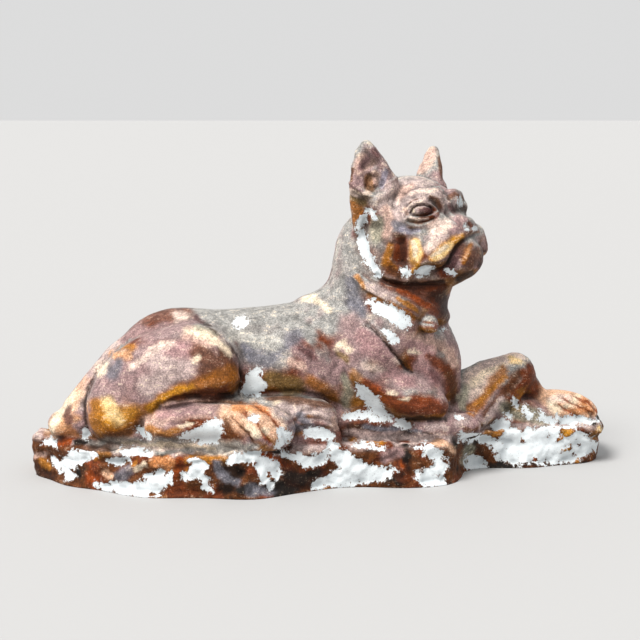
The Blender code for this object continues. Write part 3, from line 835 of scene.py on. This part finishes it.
# The strokes, in the order that they are laid: a paint, then a chain of (x, y, radius)
paintStrokes = [
    # rump and the lobe behind the thigh
    ("peach", (52, 432, 8), (62, 415, 10), (75, 395, 9), (84, 378, 7)),
    ("tan", (60, 424, 7), (76, 418, 5)),
    ("plum", (66, 408, 6), (70, 420, 5)),
    ("cream", (50, 429, 5), (60, 410, 4), (72, 394, 4)),
    ("greyMauve", (90, 372, 6), (108, 352, 6), (124, 338, 5)),
    # thigh
    ("mauve", (108, 385, 24), (150, 370, 34), (200, 362, 34), (222, 366, 18)),
    ("redBrown", (130, 335, 12), (160, 318, 12), (186, 313, 8)),
    ("tan", (112, 354, 4), (128, 356, 5)),
    ("ochre", (120, 346, 3), (132, 348, 4)),
    ("mauve", (122, 338, 6), (138, 330, 7), (150, 336, 8)),
    ("mauve", (162, 330, 8), (178, 328, 6), (192, 324, 5)),
    ("greyMauve", (160, 360, 14), (185, 366, 13), (150, 386, 12)),
    ("rosy", (172, 350, 9), (190, 352, 9)),
    ("brown", (200, 352, 12), (216, 364, 10), (205, 372, 10)),
    ("pinkClay", (188, 334, 7), (214, 340, 7)),
    ("moss", (196, 329, 4), (216, 335, 4)),
    ("brown", (224, 352, 6), (230, 364, 6)),
    ("cream", (186, 331, 3), (205, 334, 5), (222, 346, 4), (231, 354, 3)),
    ("cream", (100, 370, 6), (104, 366, 5)),
    ("slate", (113, 373, 8), (118, 364, 6)),
    ("palePink", (133, 366, 4), (160, 346, 4), (172, 343, 4)),
    ("palePink", (178, 317, 6), (186, 316, 4)),
    ("plum", (196, 318, 4), (203, 322, 3)),
    ("cream", (194, 362, 3), (200, 358, 3)),
    ("deepGold", (150, 412, 9), (160, 403, 8), (185, 389, 8), (210, 382, 10), (232, 374, 9)),
    ("redBrown", (172, 397, 3.4), (190, 395, 4), (212, 392, 4.4), (232, 389, 4.4)),
    ("gold", (150, 408, 5), (172, 393, 3.4), (190, 386, 3)),
    ("gold", (100, 408, 9), (112, 418, 12), (130, 414, 10)),
    ("deepGold", (112, 432, 5), (128, 428, 6), (140, 420, 6)),
    ("butter", (108, 404, 7), (112, 412, 8), (118, 420, 6)),
    ("ochre", (96, 404, 6), (95, 420, 8), (102, 430, 7)),
    ("brown", (104, 438, 4), (124, 434, 5), (140, 424, 5)),
    # painted shadow under the thigh's lower ridge
    ("darkBrown", (160, 408, 3), (176, 402, 4), (200, 398, 4), (230, 397, 5)),
    ("deepGold", (233, 388, 5), (237, 372, 5)),
    # painted shade in the groove between lobe and thigh
    ("darkBrown", (94, 374, 2), (86, 396, 2.5), (84, 416, 2.5), (87, 432, 2.5)),
    # painted shade in the crease at the thigh's front
    ("darkBrown", (205, 325, 0.9), (226, 340, 1.3), (238, 358, 1.5), (242, 378, 1.8), (238, 396, 2)),
    # hock and metatarsus
    ("pinkClay", (150, 424, 9), (166, 413, 8), (195, 409, 8), (222, 410, 8)),
    ("rosy", (160, 414, 6), (190, 410, 6)),
    ("mauve", (176, 409, 6), (196, 408, 5), (214, 410, 6)),
    ("ochre", (148, 430, 5), (166, 435, 5), (180, 428, 4)),
    ("cream", (178, 425, 1.8), (192, 423, 1.8)),
    ("brown", (152, 436, 4), (172, 439, 3)),
    # hind paws
    ("peach", (228, 414, 11), (248, 420, 15), (264, 420, 12), (276, 430, 9)),
    ("orange", (236, 408, 5), (254, 406, 5), (268, 412, 4)),
    ("cream", (248, 427, 4), (256, 436, 4), (266, 430, 4)),
    ("brown", (227, 420, 4), (230, 432, 5), (240, 442, 5)),
    ("rust", (257, 406, 1.2), (272, 419, 1.4), (284, 434, 1.4)),
    ("rust", (245, 411, 1.2), (259, 427, 1.4), (269, 442, 1.4)),
    ("brown", (234, 418, 1.2), (246, 432, 1.4), (254, 445, 1.4)),
    ("greyMauve", (276, 410, 7), (292, 409, 8), (308, 408, 6), (325, 413, 6), (334, 424, 6)),
    ("slate", (296, 428, 5), (312, 428, 5), (300, 414, 4)),
    ("cream", (274, 403, 2.6), (279, 402, 2)),
    ("pinkClay", (332, 419, 2.6), (336, 428, 2.6)),
    # back, loin and flank
    ("dust", (214, 314, 10), (250, 322, 16), (290, 318, 16), (256, 350, 18), (278, 356, 16)),
    ("slate", (250, 352, 9), (266, 362, 8), (284, 346, 7), (298, 336, 7)),
    ("paleDust", (276, 344, 8), (232, 336, 6)),
    ("slate", (243, 346, 4), (250, 360, 4)),
    ("olive", (272, 380, 9), (296, 386, 9), (286, 392, 7)),
    ("mauve", (298, 350, 6), (310, 356, 6), (318, 364, 6)),
    ("plum", (300, 348, 3), (314, 358, 4)),
    ("pinkClay", (290, 362, 4), (304, 368, 4)),
    ("mauve", (322, 370, 6), (328, 380, 4)),
    ("deepGold", (310, 380, 6), (322, 388, 8), (334, 396, 5)),
    # painted shadow along the belly's underside
    ("brown", (268, 398, 4), (300, 400, 4), (332, 406, 5)),
    # withers and neck
    ("dust", (330, 322, 14), (352, 308, 12), (346, 288, 12), (352, 262, 12), (346, 244, 9)),
    ("slate", (352, 304, 6), (360, 312, 5)),
    ("cream", (305, 300, 3.5), (314, 297, 3), (330, 309, 3)),
    ("slate", (350, 280, 6), (354, 298, 8), (362, 312, 6)),
    ("paleDust", (336, 240, 5), (333, 256, 4)),
    ("ochre", (357, 277, 3), (363, 287, 3)),
    ("greyMauve", (370, 286, 5), (384, 293, 5), (396, 299, 4)),
    ("deepGold", (368, 294, 2.6), (380, 300, 3.4), (392, 306, 3.4), (404, 312, 3.6), (414, 318, 3)),
    ("ochre", (398, 298, 2.4), (408, 304, 2.4), (417, 310, 2.4)),
    ("redBrown", (394, 286, 5), (412, 293, 6), (430, 300, 8), (438, 310, 6)),
    ("rust", (398, 290, 3), (416, 298, 3.4), (428, 306, 3)),
    # painted shade where the jaw meets the neck
    ("darkBrown", (436, 290, 8), (444, 300, 7), (446, 316, 6)),
    ("mauve", (446, 332, 5), (452, 346, 6)),
    # shoulder and breast
    ("mauve", (350, 326, 14), (366, 342, 14), (388, 356, 12), (402, 340, 9), (420, 346, 10)),
    ("rosy", (362, 336, 8), (376, 346, 8)),
    ("mauve", (396, 376, 10), (412, 380, 10), (424, 386, 8)),
    ("cream", (338, 346, 3.4), (345, 341, 3), (350, 352, 3)),
    ("palePink", (364, 366, 3), (380, 368, 2.6), (398, 361, 2.6)),
    ("rosy", (366, 350, 8), (384, 354, 7), (392, 374, 7), (408, 382, 7)),
    ("pinkClay", (412, 340, 7), (430, 344, 9), (422, 362, 6)),
    ("rosy", (412, 346, 8), (430, 350, 6), (420, 366, 8), (434, 380, 6)),
    ("pinkClay", (448, 352, 6), (454, 364, 4), (440, 342, 4)),
    ("redBrown", (428, 358, 5), (442, 366, 5), (450, 372, 4)),
    ("cream", (410, 350, 2.4), (417, 352, 2)),
    ("brown", (450, 376, 6), (456, 392, 5), (452, 402, 5)),
    ("plum", (436, 380, 4), (432, 372, 3)),
    ("olive", (340, 352, 4), (348, 360, 3.4)),
    ("tan", (354, 372, 2.6), (360, 380, 2.4)),
    ("moss", (344, 376, 5), (349, 390, 6), (346, 402, 5)),
    # painted shade in the groove before the shoulder
    ("darkBrown", (367, 324, 1), (376, 331.5, 1.3), (386, 343, 1.3), (396, 356, 1.3),
     (405, 366, 1.2), (412, 372, 0.9)),
    # elbow and low forearm
    ("rust", (378, 394, 6), (392, 402, 7), (412, 406, 8), (436, 406, 8)),
    ("redBrown", (398, 408, 5), (424, 411, 5), (444, 408, 6)),
    ("cream", (388, 392, 1.6), (396, 395, 1.8)),
    ("cream", (402, 399, 1.6), (410, 400, 1.8)),
    ("rust", (364, 382, 4), (376, 390, 4)),
    # painted shadow under the chest and the low forearm, along the rock
    ("nearBlack", (400, 418, 2.6), (424, 419, 2.6), (446, 419, 2.4)),
    ("nearBlack", (348, 426, 3.4), (380, 428, 4), (410, 431, 4), (432, 435, 3)),
    ("slate", (366, 426, 2), (392, 429, 2), (420, 430, 2)),
    ("greyMauve", (428, 427, 4), (446, 428, 4)),
    ("greyMauve", (456, 424, 4), (466, 422, 3)),
    ("brown", (466, 430, 3), (478, 429, 3)),
    # raised foreleg
    ("palePink", (472, 380, 10), (490, 368, 9), (506, 357, 8), (474, 394, 8)),
    ("cream", (474, 382, 6), (484, 374, 5), (502, 361, 5)),
    ("moss", (461, 396, 4), (464, 407, 5), (466, 386, 3.4)),
    ("greyMauve", (506, 352, 4), (519, 354, 4), (484, 366, 5)),
    ("palePink", (508, 355, 5), (520, 357, 5)),
    ("cream", (516, 358, 2.4), (526, 362, 2)),
    ("butter", (512, 359, 4), (520, 361, 3)),
    ("deepGold", (502, 370, 5), (492, 384, 6), (483, 398, 6), (472, 411, 6)),
    ("ochre", (506, 376, 2.4), (490, 390, 2.8), (476, 404, 2.4)),
    ("brown", (518, 374, 6), (508, 388, 6), (496, 402, 5), (486, 414, 5)),
    ("greyMauve", (500, 400, 3.4), (491, 414, 3.4), (484, 425, 3.4)),
    ("redBrown", (524, 372, 5), (532, 384, 5), (537, 392, 4)),
    ("peach", (546, 398, 6), (560, 400, 8), (578, 402, 9), (590, 409, 7)),
    ("palePink", (552, 400, 5), (568, 398, 4)),
    ("cream", (550, 404, 4), (556, 411, 5), (566, 407, 3.4), (578, 396, 3)),
    ("orange", (584, 401, 4), (592, 411, 4), (574, 411, 4)),
    ("greyMauve", (596, 401, 2.6), (601, 411, 2.4)),
    ("rust", (563, 398, 1), (577, 405, 1.4), (591, 415, 1.4)),
    ("rust", (557, 405, 1), (570, 412, 1.4), (580, 419, 1.4)),
    ("rust", (575, 396, 1), (589, 403, 1.3), (598, 413, 1.3)),
    ("moss", (504, 408, 7), (516, 412, 8), (532, 416, 8), (546, 420, 6)),
    ("olive", (512, 406, 3), (526, 414, 3)),
    # ears
    ("mauve", (364, 166, 11), (360, 180, 9), (374, 152, 7), (386, 174, 8)),
    ("plum", (373, 150, 2.6), (378, 156, 2.6)),
    ("pinkClay", (362, 158, 6), (358, 170, 5), (372, 162, 4)),
    ("rosy", (367, 160, 4), (360, 168, 4)),
    ("tan", (369, 178, 5), (370, 187, 5.4)),
    ("brown", (367, 178, 1.6), (366, 186, 1.6)),
    ("pinkClay", (374, 173, 3), (376, 184, 2.4)),
    ("lilac", (385, 172, 3.4), (382, 186, 3)),
    ("brown", (352, 170, 2), (351, 180, 2)),
    ("palePink", (351, 190, 2.6), (358, 195, 2.6), (369, 193, 2.4)),
    ("deepGold", (352, 204, 5), (358, 210, 6), (355, 222, 4)),
    ("olive", (364, 203, 4), (350, 197, 2.4)),
    ("pinkClay", (431, 153, 6), (426, 164, 6), (418, 172, 5)),
    ("brown", (439, 158, 2.4), (441, 170, 2.4), (443, 180, 2)),
    # skull, brow and eyes
    ("greyMauve", (398, 192, 14), (420, 186, 11), (440, 190, 9), (390, 214, 12), (384, 200, 8)),
    ("pinkClay", (404, 190, 5), (398, 198, 3.4), (412, 186, 3)),
    ("mauve", (440, 185, 5), (452, 192, 5)),
    ("palePink", (410, 194.6, 1.6), (418, 191.4, 1.6), (430, 190.6, 1.5), (438, 189.6, 1.3)),
    ("palePink", (398, 197, 1.6), (399, 205, 1.4)),
    ("brown", (431, 197, 2.4), (437, 200, 3), (440, 207, 2.6)),
    ("brown", (449, 198, 3), (455, 194, 3), (462, 199, 3)),
    ("plum", (450, 206, 3), (454, 212, 2.4)),
    ("darkBrown", (458, 208, 4.4), (464, 209, 4)),
    ("greyMauve", (458, 213.6, 1.2), (465, 214, 1)),
    ("greyMauve", (414, 210.6, 3), (420, 210, 4)),
    ("plum", (421, 210.5, 3.4), (429, 210, 3.2)),
    ("cream", (413, 209, 1.4), (413.6, 212, 1.2)),
    ("pinkClay", (405, 209, 2.2), (407, 214, 2)),
    ("darkBrown", (410.6, 212.6, 1.2), (413, 208.4, 1.1), (418, 205.6, 1.1), (425, 205, 1.1),
     (431, 207, 1.2)),
    ("darkBrown", (413, 215.4, 0.7), (420, 216.4, 0.8), (428, 215.6, 0.8)),
    ("brown", (409, 204, 0.8), (413, 200.6, 0.8), (418, 199, 0.7)),
    ("palePink", (410, 217.6, 1), (418, 219.2, 1.1), (428, 218.4, 1.1)),
    ("mauve", (433, 213.4, 1.2), (436, 216, 1.2)),
    ("brown", (410, 222, 0.9), (418, 223.4, 1.1), (427, 221.2, 1), (433, 218.6, 0.8)),
    # cheek, muzzle and chin
    ("moss", (378, 222, 7), (376, 238, 6), (374, 228, 5)),
    ("pinkClay", (386, 210, 5), (390, 222, 5), (386, 236, 4)),
    ("slate", (394, 224, 4), (404, 227, 4)),
    ("slate", (396, 229, 3.4), (408, 231, 2.6)),
    ("lilac", (402, 229, 3), (410, 232, 2.6), (418, 230, 2.4)),
    ("palePink", (436, 229, 9), (446, 224, 6), (436, 242, 7), (428, 248, 5)),
    ("greyMauve", (426, 238, 3), (448, 236, 2.4)),
    ("mauve", (458, 217, 4), (466, 221, 4)),
    ("redBrown", (470, 224, 2.4), (474, 230, 2.4)),
    ("gold", (462, 236, 3), (455, 241, 4)),
    ("gold", (454, 241, 5), (444, 250, 6.5), (434, 258, 5)),
    ("butter", (450, 245, 3.6), (443, 252, 4.4), (436, 258, 3.4)),
    ("cream", (447, 246, 1.8), (439, 252, 2.2), (432, 256, 1.6)),
    ("brown", (464, 234, 2), (471, 231, 2)),
    ("darkBrown", (462, 240, 1.6), (456, 246, 1.8), (451, 254, 1.8), (448, 263, 1.8)),
    ("brown", (464, 250, 9), (469, 262, 8), (478, 252, 6)),
    ("plum", (454, 262, 4), (458, 252, 4)),
    ("deepGold", (471, 244, 2.4), (468, 254, 3), (464, 264, 2.4)),
    ("tan", (470, 248, 1.6), (466, 258, 1.8)),
    ("darkBrown", (484, 252, 3), (480, 266, 3)),
    ("darkBrown", (470, 274, 4), (458, 280, 4)),
    ("plum", (452, 266, 3.4), (444, 270, 3.4)),
    ("brown", (391, 246, 5), (390, 256, 7), (388, 266, 6), (398, 268, 4)),
    ("ochre", (390, 246, 3), (387, 256, 4), (384, 264, 3)),
    ("redBrown", (402, 241, 5.6), (403, 252, 6.6), (401, 263, 6)),
    ("rust", (397, 246, 3), (397, 258, 3.4)),
    ("gold", (415, 243, 5.6), (416, 252, 7), (415, 260, 5.6)),
    ("butter", (416, 243, 4.4), (417, 251, 5.6), (416, 258, 4.4)),
    ("cream", (413, 242, 2.4), (415, 250, 3), (414, 256, 2)),
    ("deepGold", (388, 262, 3), (394, 268, 3)),
    ("brown", (391, 270, 5), (400, 276, 4)),
    ("gold", (418, 266, 2.4), (412, 272, 1.8)),
    ("redBrown", (382, 281, 3.6), (404, 285, 4.6), (424, 286, 5.6), (442, 286, 6)),
    # painted shade in the groove under the jaw
    ("darkBrown", (384, 279, 1.4), (404, 283, 1.8), (426, 283, 1.8), (444, 281, 2)),
    # upper face of the rock
    ("greyMauve", (346, 432, 4), (380, 435, 4), (420, 437, 4), (450, 437, 3)),
    ("paleDust", (92, 445, 6), (140, 446, 7), (180, 446, 8), (220, 447, 8), (256, 448, 4)),
    ("palePink", (110, 446, 3), (160, 447, 3), (204, 446, 3)),
    ("cream", (120, 444, 1.6), (150, 444, 1.8), (196, 447, 2.4), (214, 449, 2)),
    # front of the rock, from the left
    ("brown", (44, 452, 6), (80, 449, 4), (108, 448, 4)),
    ("darkBrown", (38, 468, 6), (50, 476, 6)),
    ("ochre", (42, 458, 4), (48, 466, 3)),
    ("pinkClay", (36, 456, 3), (46, 453, 2.4)),
    ("ochre", (97, 456, 4), (108, 454, 4)),
    ("slate", (120, 476, 6), (129, 470, 6)),
    ("peach", (105, 473, 4), (112, 477, 3)),
    ("cream", (137, 470, 2.6), (144, 463, 2.6)),
    ("orange", (155, 462, 6), (170, 465, 6), (166, 458, 4)),
    ("rust", (181, 462, 4), (173, 476, 4)),
    ("redBrown", (178, 488, 8), (170, 493, 5), (196, 492, 5)),
    ("nearBlack", (222, 468, 9), (235, 472, 10), (228, 485, 10)),
    ("slate", (216, 464, 4), (226, 478, 4), (238, 484, 4)),
    ("slate", (250, 491, 6), (270, 492, 5)),
    ("darkBrown", (284, 468, 5), (292, 477, 9), (306, 481, 8), (320, 474, 6)),
    ("nearBlack", (290, 476, 5), (304, 479, 5), (318, 473, 4)),
    ("redBrown", (300, 471, 2), (312, 470, 2)),
    ("mauve", (386, 456, 6), (399, 452, 6)),
    ("redBrown", (400, 465, 7), (405, 476, 7), (394, 470, 4)),
    ("rust", (402, 460, 1.6), (406, 472, 1.6)),
    ("darkBrown", (398, 476, 4), (411, 468, 3)),
    ("peach", (434, 444, 3.4), (446, 444, 3.4), (453, 451, 3.4)),
    ("moss", (470, 450, 6), (465, 461, 5)),
    ("ochre", (488, 434, 4), (502, 431, 5), (515, 432, 4)),
    ("gold", (567, 432, 6), (566, 450, 4)),
    ("ochre", (592, 436, 4), (604, 433, 6)),
    ("butter", (600, 428, 2.4), (606, 432, 2)),
    ("nearBlack", (480, 470, 3), (500, 467, 3), (530, 464, 2), (586, 463, 2)),
]


def linear(name):
    c = np.array(palette[name]) / 255.0
    return np.where(c < 0.04045, c / 12.92, ((c + 0.055) / 1.055) ** 2.4)


def lay(paint, name, amount):
    paint += np.clip(amount, 0.0, 1.0)[:, None] * (linear(name) - paint)


# First paint for every side by the surface's lie and by noise, then the strokes where they show
def layPaint(piece):
    p, n = clayPoints(piece), normalsOf(piece)
    spots = toPhoto(p)[0]
    seen = seenShare(p, n)
    broad, patchy, up = noiseAt(p, 46.0, 11, 2), noiseAt(p, 15.0, 12, 3), n[:, 2]
    paint = np.tile(linear("mauve"), (len(p), 1))
    lay(paint, "redBrown", ramp(broad, -0.1, 0.5))
    lay(paint, "ochre", ramp(-up + 0.5 * patchy, 0.1, 0.8))
    lay(paint, "orange", 0.8 * ramp(patchy - broad, 0.3, 1.0) * ramp(-p[:, 0], 60.0, 120.0))
    # dust and a painted sky sheen on what faces up
    lay(paint, "dust", ramp(up + 0.45 * patchy, 0.15, 0.75) * ramp(p[:, 2], 10.0, 40.0))
    shoulder = ramp(p[:, 2] - 1.2 * np.abs(p[:, 0] - 40.0), 30.0, 90.0)
    lay(paint, "dust", shoulder * ramp(patchy, -0.8, 0.6) * 0.7)
    forepaw, hindPaw = np.array([232, 45, 6]), np.array([2, 74, 8])
    paws = np.minimum(np.linalg.norm(p - forepaw, axis=1), np.linalg.norm(p - hindPaw, axis=1))
    lay(paint, "peach", 1.0 - ramp(paws, 26.0, 44.0))
    rock = ramp(-p[:, 2], -3.0, 0.5)
    lay(paint, "greyMauve", rock)
    lay(paint, "brown", rock * ramp(-p[:, 2], 0.0, 8.0))
    lay(paint, "redBrown", rock * ramp(patchy, 0.1, 0.5))
    lay(paint, "rust", rock * ramp(patchy - broad, 0.9, 1.3))
    lay(paint, "ochre", rock * ramp(patchy + broad, 0.7, 1.1))
    lay(paint, "nearBlack", rock * ramp(-patchy - broad, 0.5, 1.0))
    wander = 2.2 * np.stack([noiseAt(p, 8.0, 13, 3), noiseAt(p, 8.0, 14, 3)], axis=1)
    wander *= np.clip(fromHead(p)[:, None] / 90.0 - 0.3, 0.25, 1.0)    # less on the face
    for name, *chain in paintStrokes:
        knots = np.array(chain, float)
        size = knots[:, 2].max()
        near = nearChain(spots, knots, size + 4.0)
        inside = -chainGap(spots[near] + wander[near], knots)
        amount = np.zeros(len(p))
        amount[near] = 0.85 * ramp(inside, -0.35 * size, 0.45 * size) * seen[near]
        lay(paint, name, amount)
    paint *= 1.0 - 0.55 * ramp(-n[:, 2], 0.0, 0.8)[:, None]    # painted shade, with some darker glaze, on what faces down
    colours = np.hstack([paint, np.ones((len(p), 1))]).astype(np.float32)
    layer = piece.data.attributes.new("paint", "FLOAT_COLOR", "POINT")
    layer.data.foreach_set("color", colours.ravel())


layPaint(piece)
print("painted")


# A shader socket that is added to, multiplied and so on; each step is one Math node
class Value:
    def __init__(self, tree, socket):
        self.tree, self.socket = tree, socket

    def step(self, operation, *values):
        node = self.tree.nodes.new("ShaderNodeMath")
        node.operation = operation
        for socket, value in zip(node.inputs, values):
            if isinstance(value, Value):
                self.tree.links.new(value.socket, socket)
            else:
                socket.default_value = value
        return Value(self.tree, node.outputs[0])

    def __add__(self, other):
        return self.step("ADD", self, other)

    def __radd__(self, other):
        return self.step("ADD", other, self)

    def __sub__(self, other):
        return self.step("SUBTRACT", self, other)

    def __rsub__(self, other):
        return self.step("SUBTRACT", other, self)

    def __mul__(self, other):
        return self.step("MULTIPLY", self, other)

    def __rmul__(self, other):
        return self.step("MULTIPLY", other, self)

    def over(self, low, high):
        node = self.tree.nodes.new("ShaderNodeMapRange")
        node.interpolation_type = "SMOOTHSTEP"
        node.inputs["From Min"].default_value = low
        node.inputs["From Max"].default_value = high
        self.tree.links.new(self.socket, node.inputs["Value"])
        return Value(self.tree, node.outputs["Result"])


class Finish:
    def __init__(self, name):
        self.material = bpy.data.materials.new(name)
        self.material.use_nodes = True
        self.tree = self.material.node_tree
        self.shader = self.tree.nodes["Principled BSDF"]

    # Adds a node: its settings first, then its sockets' values and links
    def node(self, kind, settings=None, sockets=None):
        node = self.tree.nodes.new(kind)
        for name, value in (settings or {}).items():
            setattr(node, name, value)
        for name, value in (sockets or {}).items():
            self.put(node.inputs[name], value)
        return node

    def put(self, socket, value):
        if isinstance(value, Value):
            self.tree.links.new(value.socket, socket)
        else:
            socket.default_value = value

    def out(self, node, name):
        return Value(self.tree, node.outputs[name])

    def stored(self, name, output="Fac"):
        return self.out(self.node("ShaderNodeAttribute", {"attribute_name": name}), output)

    def noise(self, place, scale, detail, rough, warp=0.0):
        sockets = {"Vector": place, "Scale": scale, "Detail": detail}
        sockets.update({"Roughness": rough, "Distortion": warp})
        return self.out(self.node("ShaderNodeTexNoise", None, sockets), "Fac")

    # A colour made darker or lighter
    def scaled(self, colour, share):
        sockets = {0: colour, 3: share}
        return self.out(self.node("ShaderNodeVectorMath", {"operation": "SCALE"}, sockets), 0)

    # Mixes two colours
    def blend(self, share, first, second):
        sockets = {0: share, 6: first, 7: second}
        return self.out(self.node("ShaderNodeMix", {"data_type": "RGBA"}, sockets), 2)


def shade(name):
    return (*(float(c) for c in linear(name)), 1.0)


plaster = {
    "white": (0.80, 0.85, 0.87, 1.0),
    "stainAndShade": (0.50, 0.54, 0.56, 1.0),
    "paintStrength": 0.93,
    "paintRoughness": 0.36,
    "plasterRoughness": 0.92,
    "mottle": 150.0,           # marks in each metre
    "flake": 700.0,
    "grain": 1900.0,
    "edge": 270.0,
    "brush": (110.0, 260.0, 560.0),
    "rubbing": (1.185, 1.22),    # how strong the marks are where they rub the paint through
    "ragged": (17.0, 7.0, 7.0),    # how far edge, flake and mottle move the rim of a chip
    "bump": (0.7, 0.0012),       # strength, and height in metres
    "shine": 0.15,
}


def paintedPlaster():
    look = Finish("worn painted plaster")
    place = look.out(look.node("ShaderNodeTexCoord"), "Object")
    paint = look.stored("paint", "Color")
    bare, proud = look.stored("bare"), look.stored("proud")
    mottle = look.noise(place, plaster["mottle"], 6.0, 0.62, 0.4)
    flake = look.noise(place, plaster["flake"], 5.0, 0.68, 0.2)
    grain = look.noise(place, plaster["grain"], 3.0, 0.7)
    edge = look.noise(place, plaster["edge"], 6.0, 0.72, 0.3)
    drawn = look.node("ShaderNodeMapping", None, {"Vector": place, "Scale": plaster["brush"]})
    brush = look.noise(look.out(drawn, "Vector"), 1.0, 5.0, 0.65, 0.5)
    ridge, hollowShade = proud.over(-1.4, 1.4), proud.over(0.1, -1.3)
    # thin paint, lighter and darker from mark to mark, with painted shade darkest in the hollows
    tone = (0.7 + 0.6 * mottle.over(0.34, 0.66)) * (0.66 + 0.68 * flake.over(0.36, 0.64))
    tone = tone * (0.7 + 0.6 * grain.over(0.36, 0.64)) * (1.0 - 0.6 * hollowShade) * plaster["paintStrength"]
    worked = look.scaled(paint, tone)
    # rubbed through to pale specks and scratches, most of all on the ridges
    light = look.out(look.node("ShaderNodeRGBToBW", None, {"Color": paint}), 0).over(0.02, 0.45)
    marks = 0.55 * flake + 0.45 * grain + 0.6 * brush + 0.4 * mottle
    rubbed = (marks + 0.11 * ridge + 0.03 * light).over(*plaster["rubbing"])
    worked = look.blend(rubbed * (0.24 + 0.5 * light), worked, shade("cream"))
    # bare plaster where the paint has flaked off
    byEdge, byFlake, byMottle = plaster["ragged"]
    inside = bare + (edge - 0.5) * byEdge + (flake - 0.5) * byFlake + (mottle - 0.5) * byMottle
    gone = inside.over(-0.15, 0.15)
    rim = inside.over(-1.2, -0.1) * (1.0 - gone)
    white = look.blend(mottle.over(0.46, 0.72) * 0.25, plaster["white"], plaster["stainAndShade"])
    white = look.blend(flake.over(0.58, 0.63) * 0.35, white, shade("slate"))
    # painted shade: the bare plaster turns greyer in the hollows
    white = look.blend(hollowShade * 0.8, white, plaster["stainAndShade"])
    worked = look.blend(rim * 0.3, worked, shade("palePink"))
    look.put(look.shader.inputs["Base Color"], look.blend(gone, worked, white))
    rough = plaster["paintRoughness"] + grain * 0.3
    look.put(look.shader.inputs["Roughness"], rough + gone * (plaster["plasterRoughness"] - rough))
    height = mottle + flake * 0.8 + grain * 0.5 + brush * 0.4 - gone * 0.8
    strength, reach = plaster["bump"]
    bump = look.node("ShaderNodeBump", None, {"Strength": strength, "Distance": reach, "Height": height})
    look.put(look.shader.inputs["Normal"], look.out(bump, "Normal"))
    look.shader.inputs["Specular IOR Level"].default_value = plaster["shine"]
    return look.material


piece.data.materials.clear()
piece.data.materials.append(paintedPlaster())

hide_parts(statue["node"])
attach(piece, "root")
print("statue finished")


# The floor, the light and the camera
studio = {
    "floorSize": 90.0,
    "floor": (0.43, 0.43, 0.43, 1.0),
    "floorRoughness": 0.85,
    "sky": (1.0, 1.0, 1.0, 1.0),
    "skyStrength": 0.72,
    "sun": {"from": (-0.6, -0.6, 1.15), "strength": 4.4, "spread": 0.45, "colour": (1.0, 0.98, 0.95)},
}


def rowPoint(clay):
    return (np.array(clay) - np.array([*statue["middle"], -statue["rockTop"]])) / 1000.0


def addFloor():
    bpy.ops.object.select_all(action="DESELECT")
    bpy.ops.mesh.primitive_plane_add(size=studio["floorSize"], location=(0.0, 0.0, 0.0))
    floor = bpy.context.object
    floor.name = "floor"
    look = Finish("pale floor")
    look.shader.inputs["Base Color"].default_value = studio["floor"]
    look.shader.inputs["Roughness"].default_value = studio["floorRoughness"]
    floor.data.materials.append(look.material)


def addLight():
    sky = bpy.data.worlds.new("sky")
    sky.use_nodes = True
    background = sky.node_tree.nodes["Background"]
    background.inputs["Color"].default_value = studio["sky"]
    background.inputs["Strength"].default_value = studio["skyStrength"]
    bpy.context.scene.world = sky
    sun = bpy.data.lights.new("sun", "SUN")
    sun.energy = studio["sun"]["strength"]
    sun.angle = studio["sun"]["spread"]
    sun.color = studio["sun"]["colour"]
    holder = bpy.data.objects.new("sun", sun)
    holder.rotation_mode = "QUATERNION"
    holder.rotation_quaternion = Vector(studio["sun"]["from"]).to_track_quat("Z", "Y")
    bpy.context.scene.collection.objects.link(holder)


def addCamera():
    eye, away = photoCamera()[:2]
    lens = bpy.data.cameras.new("camera")
    lens.sensor_width = photo["sensor"]
    lens.lens = photo["sensor"] * photo["focal"] / photo["pixels"]
    holder = bpy.data.objects.new("camera", lens)
    bpy.context.scene.collection.objects.link(holder)
    holder.location = rowPoint(eye)
    holder.rotation_mode = "QUATERNION"
    holder.rotation_quaternion = Vector(away).to_track_quat("-Z", "Y")
    bpy.context.scene.camera = holder


addFloor()
addLight()
addCamera()
bpy.context.scene.view_settings.view_transform = "Standard"
print("stage set")
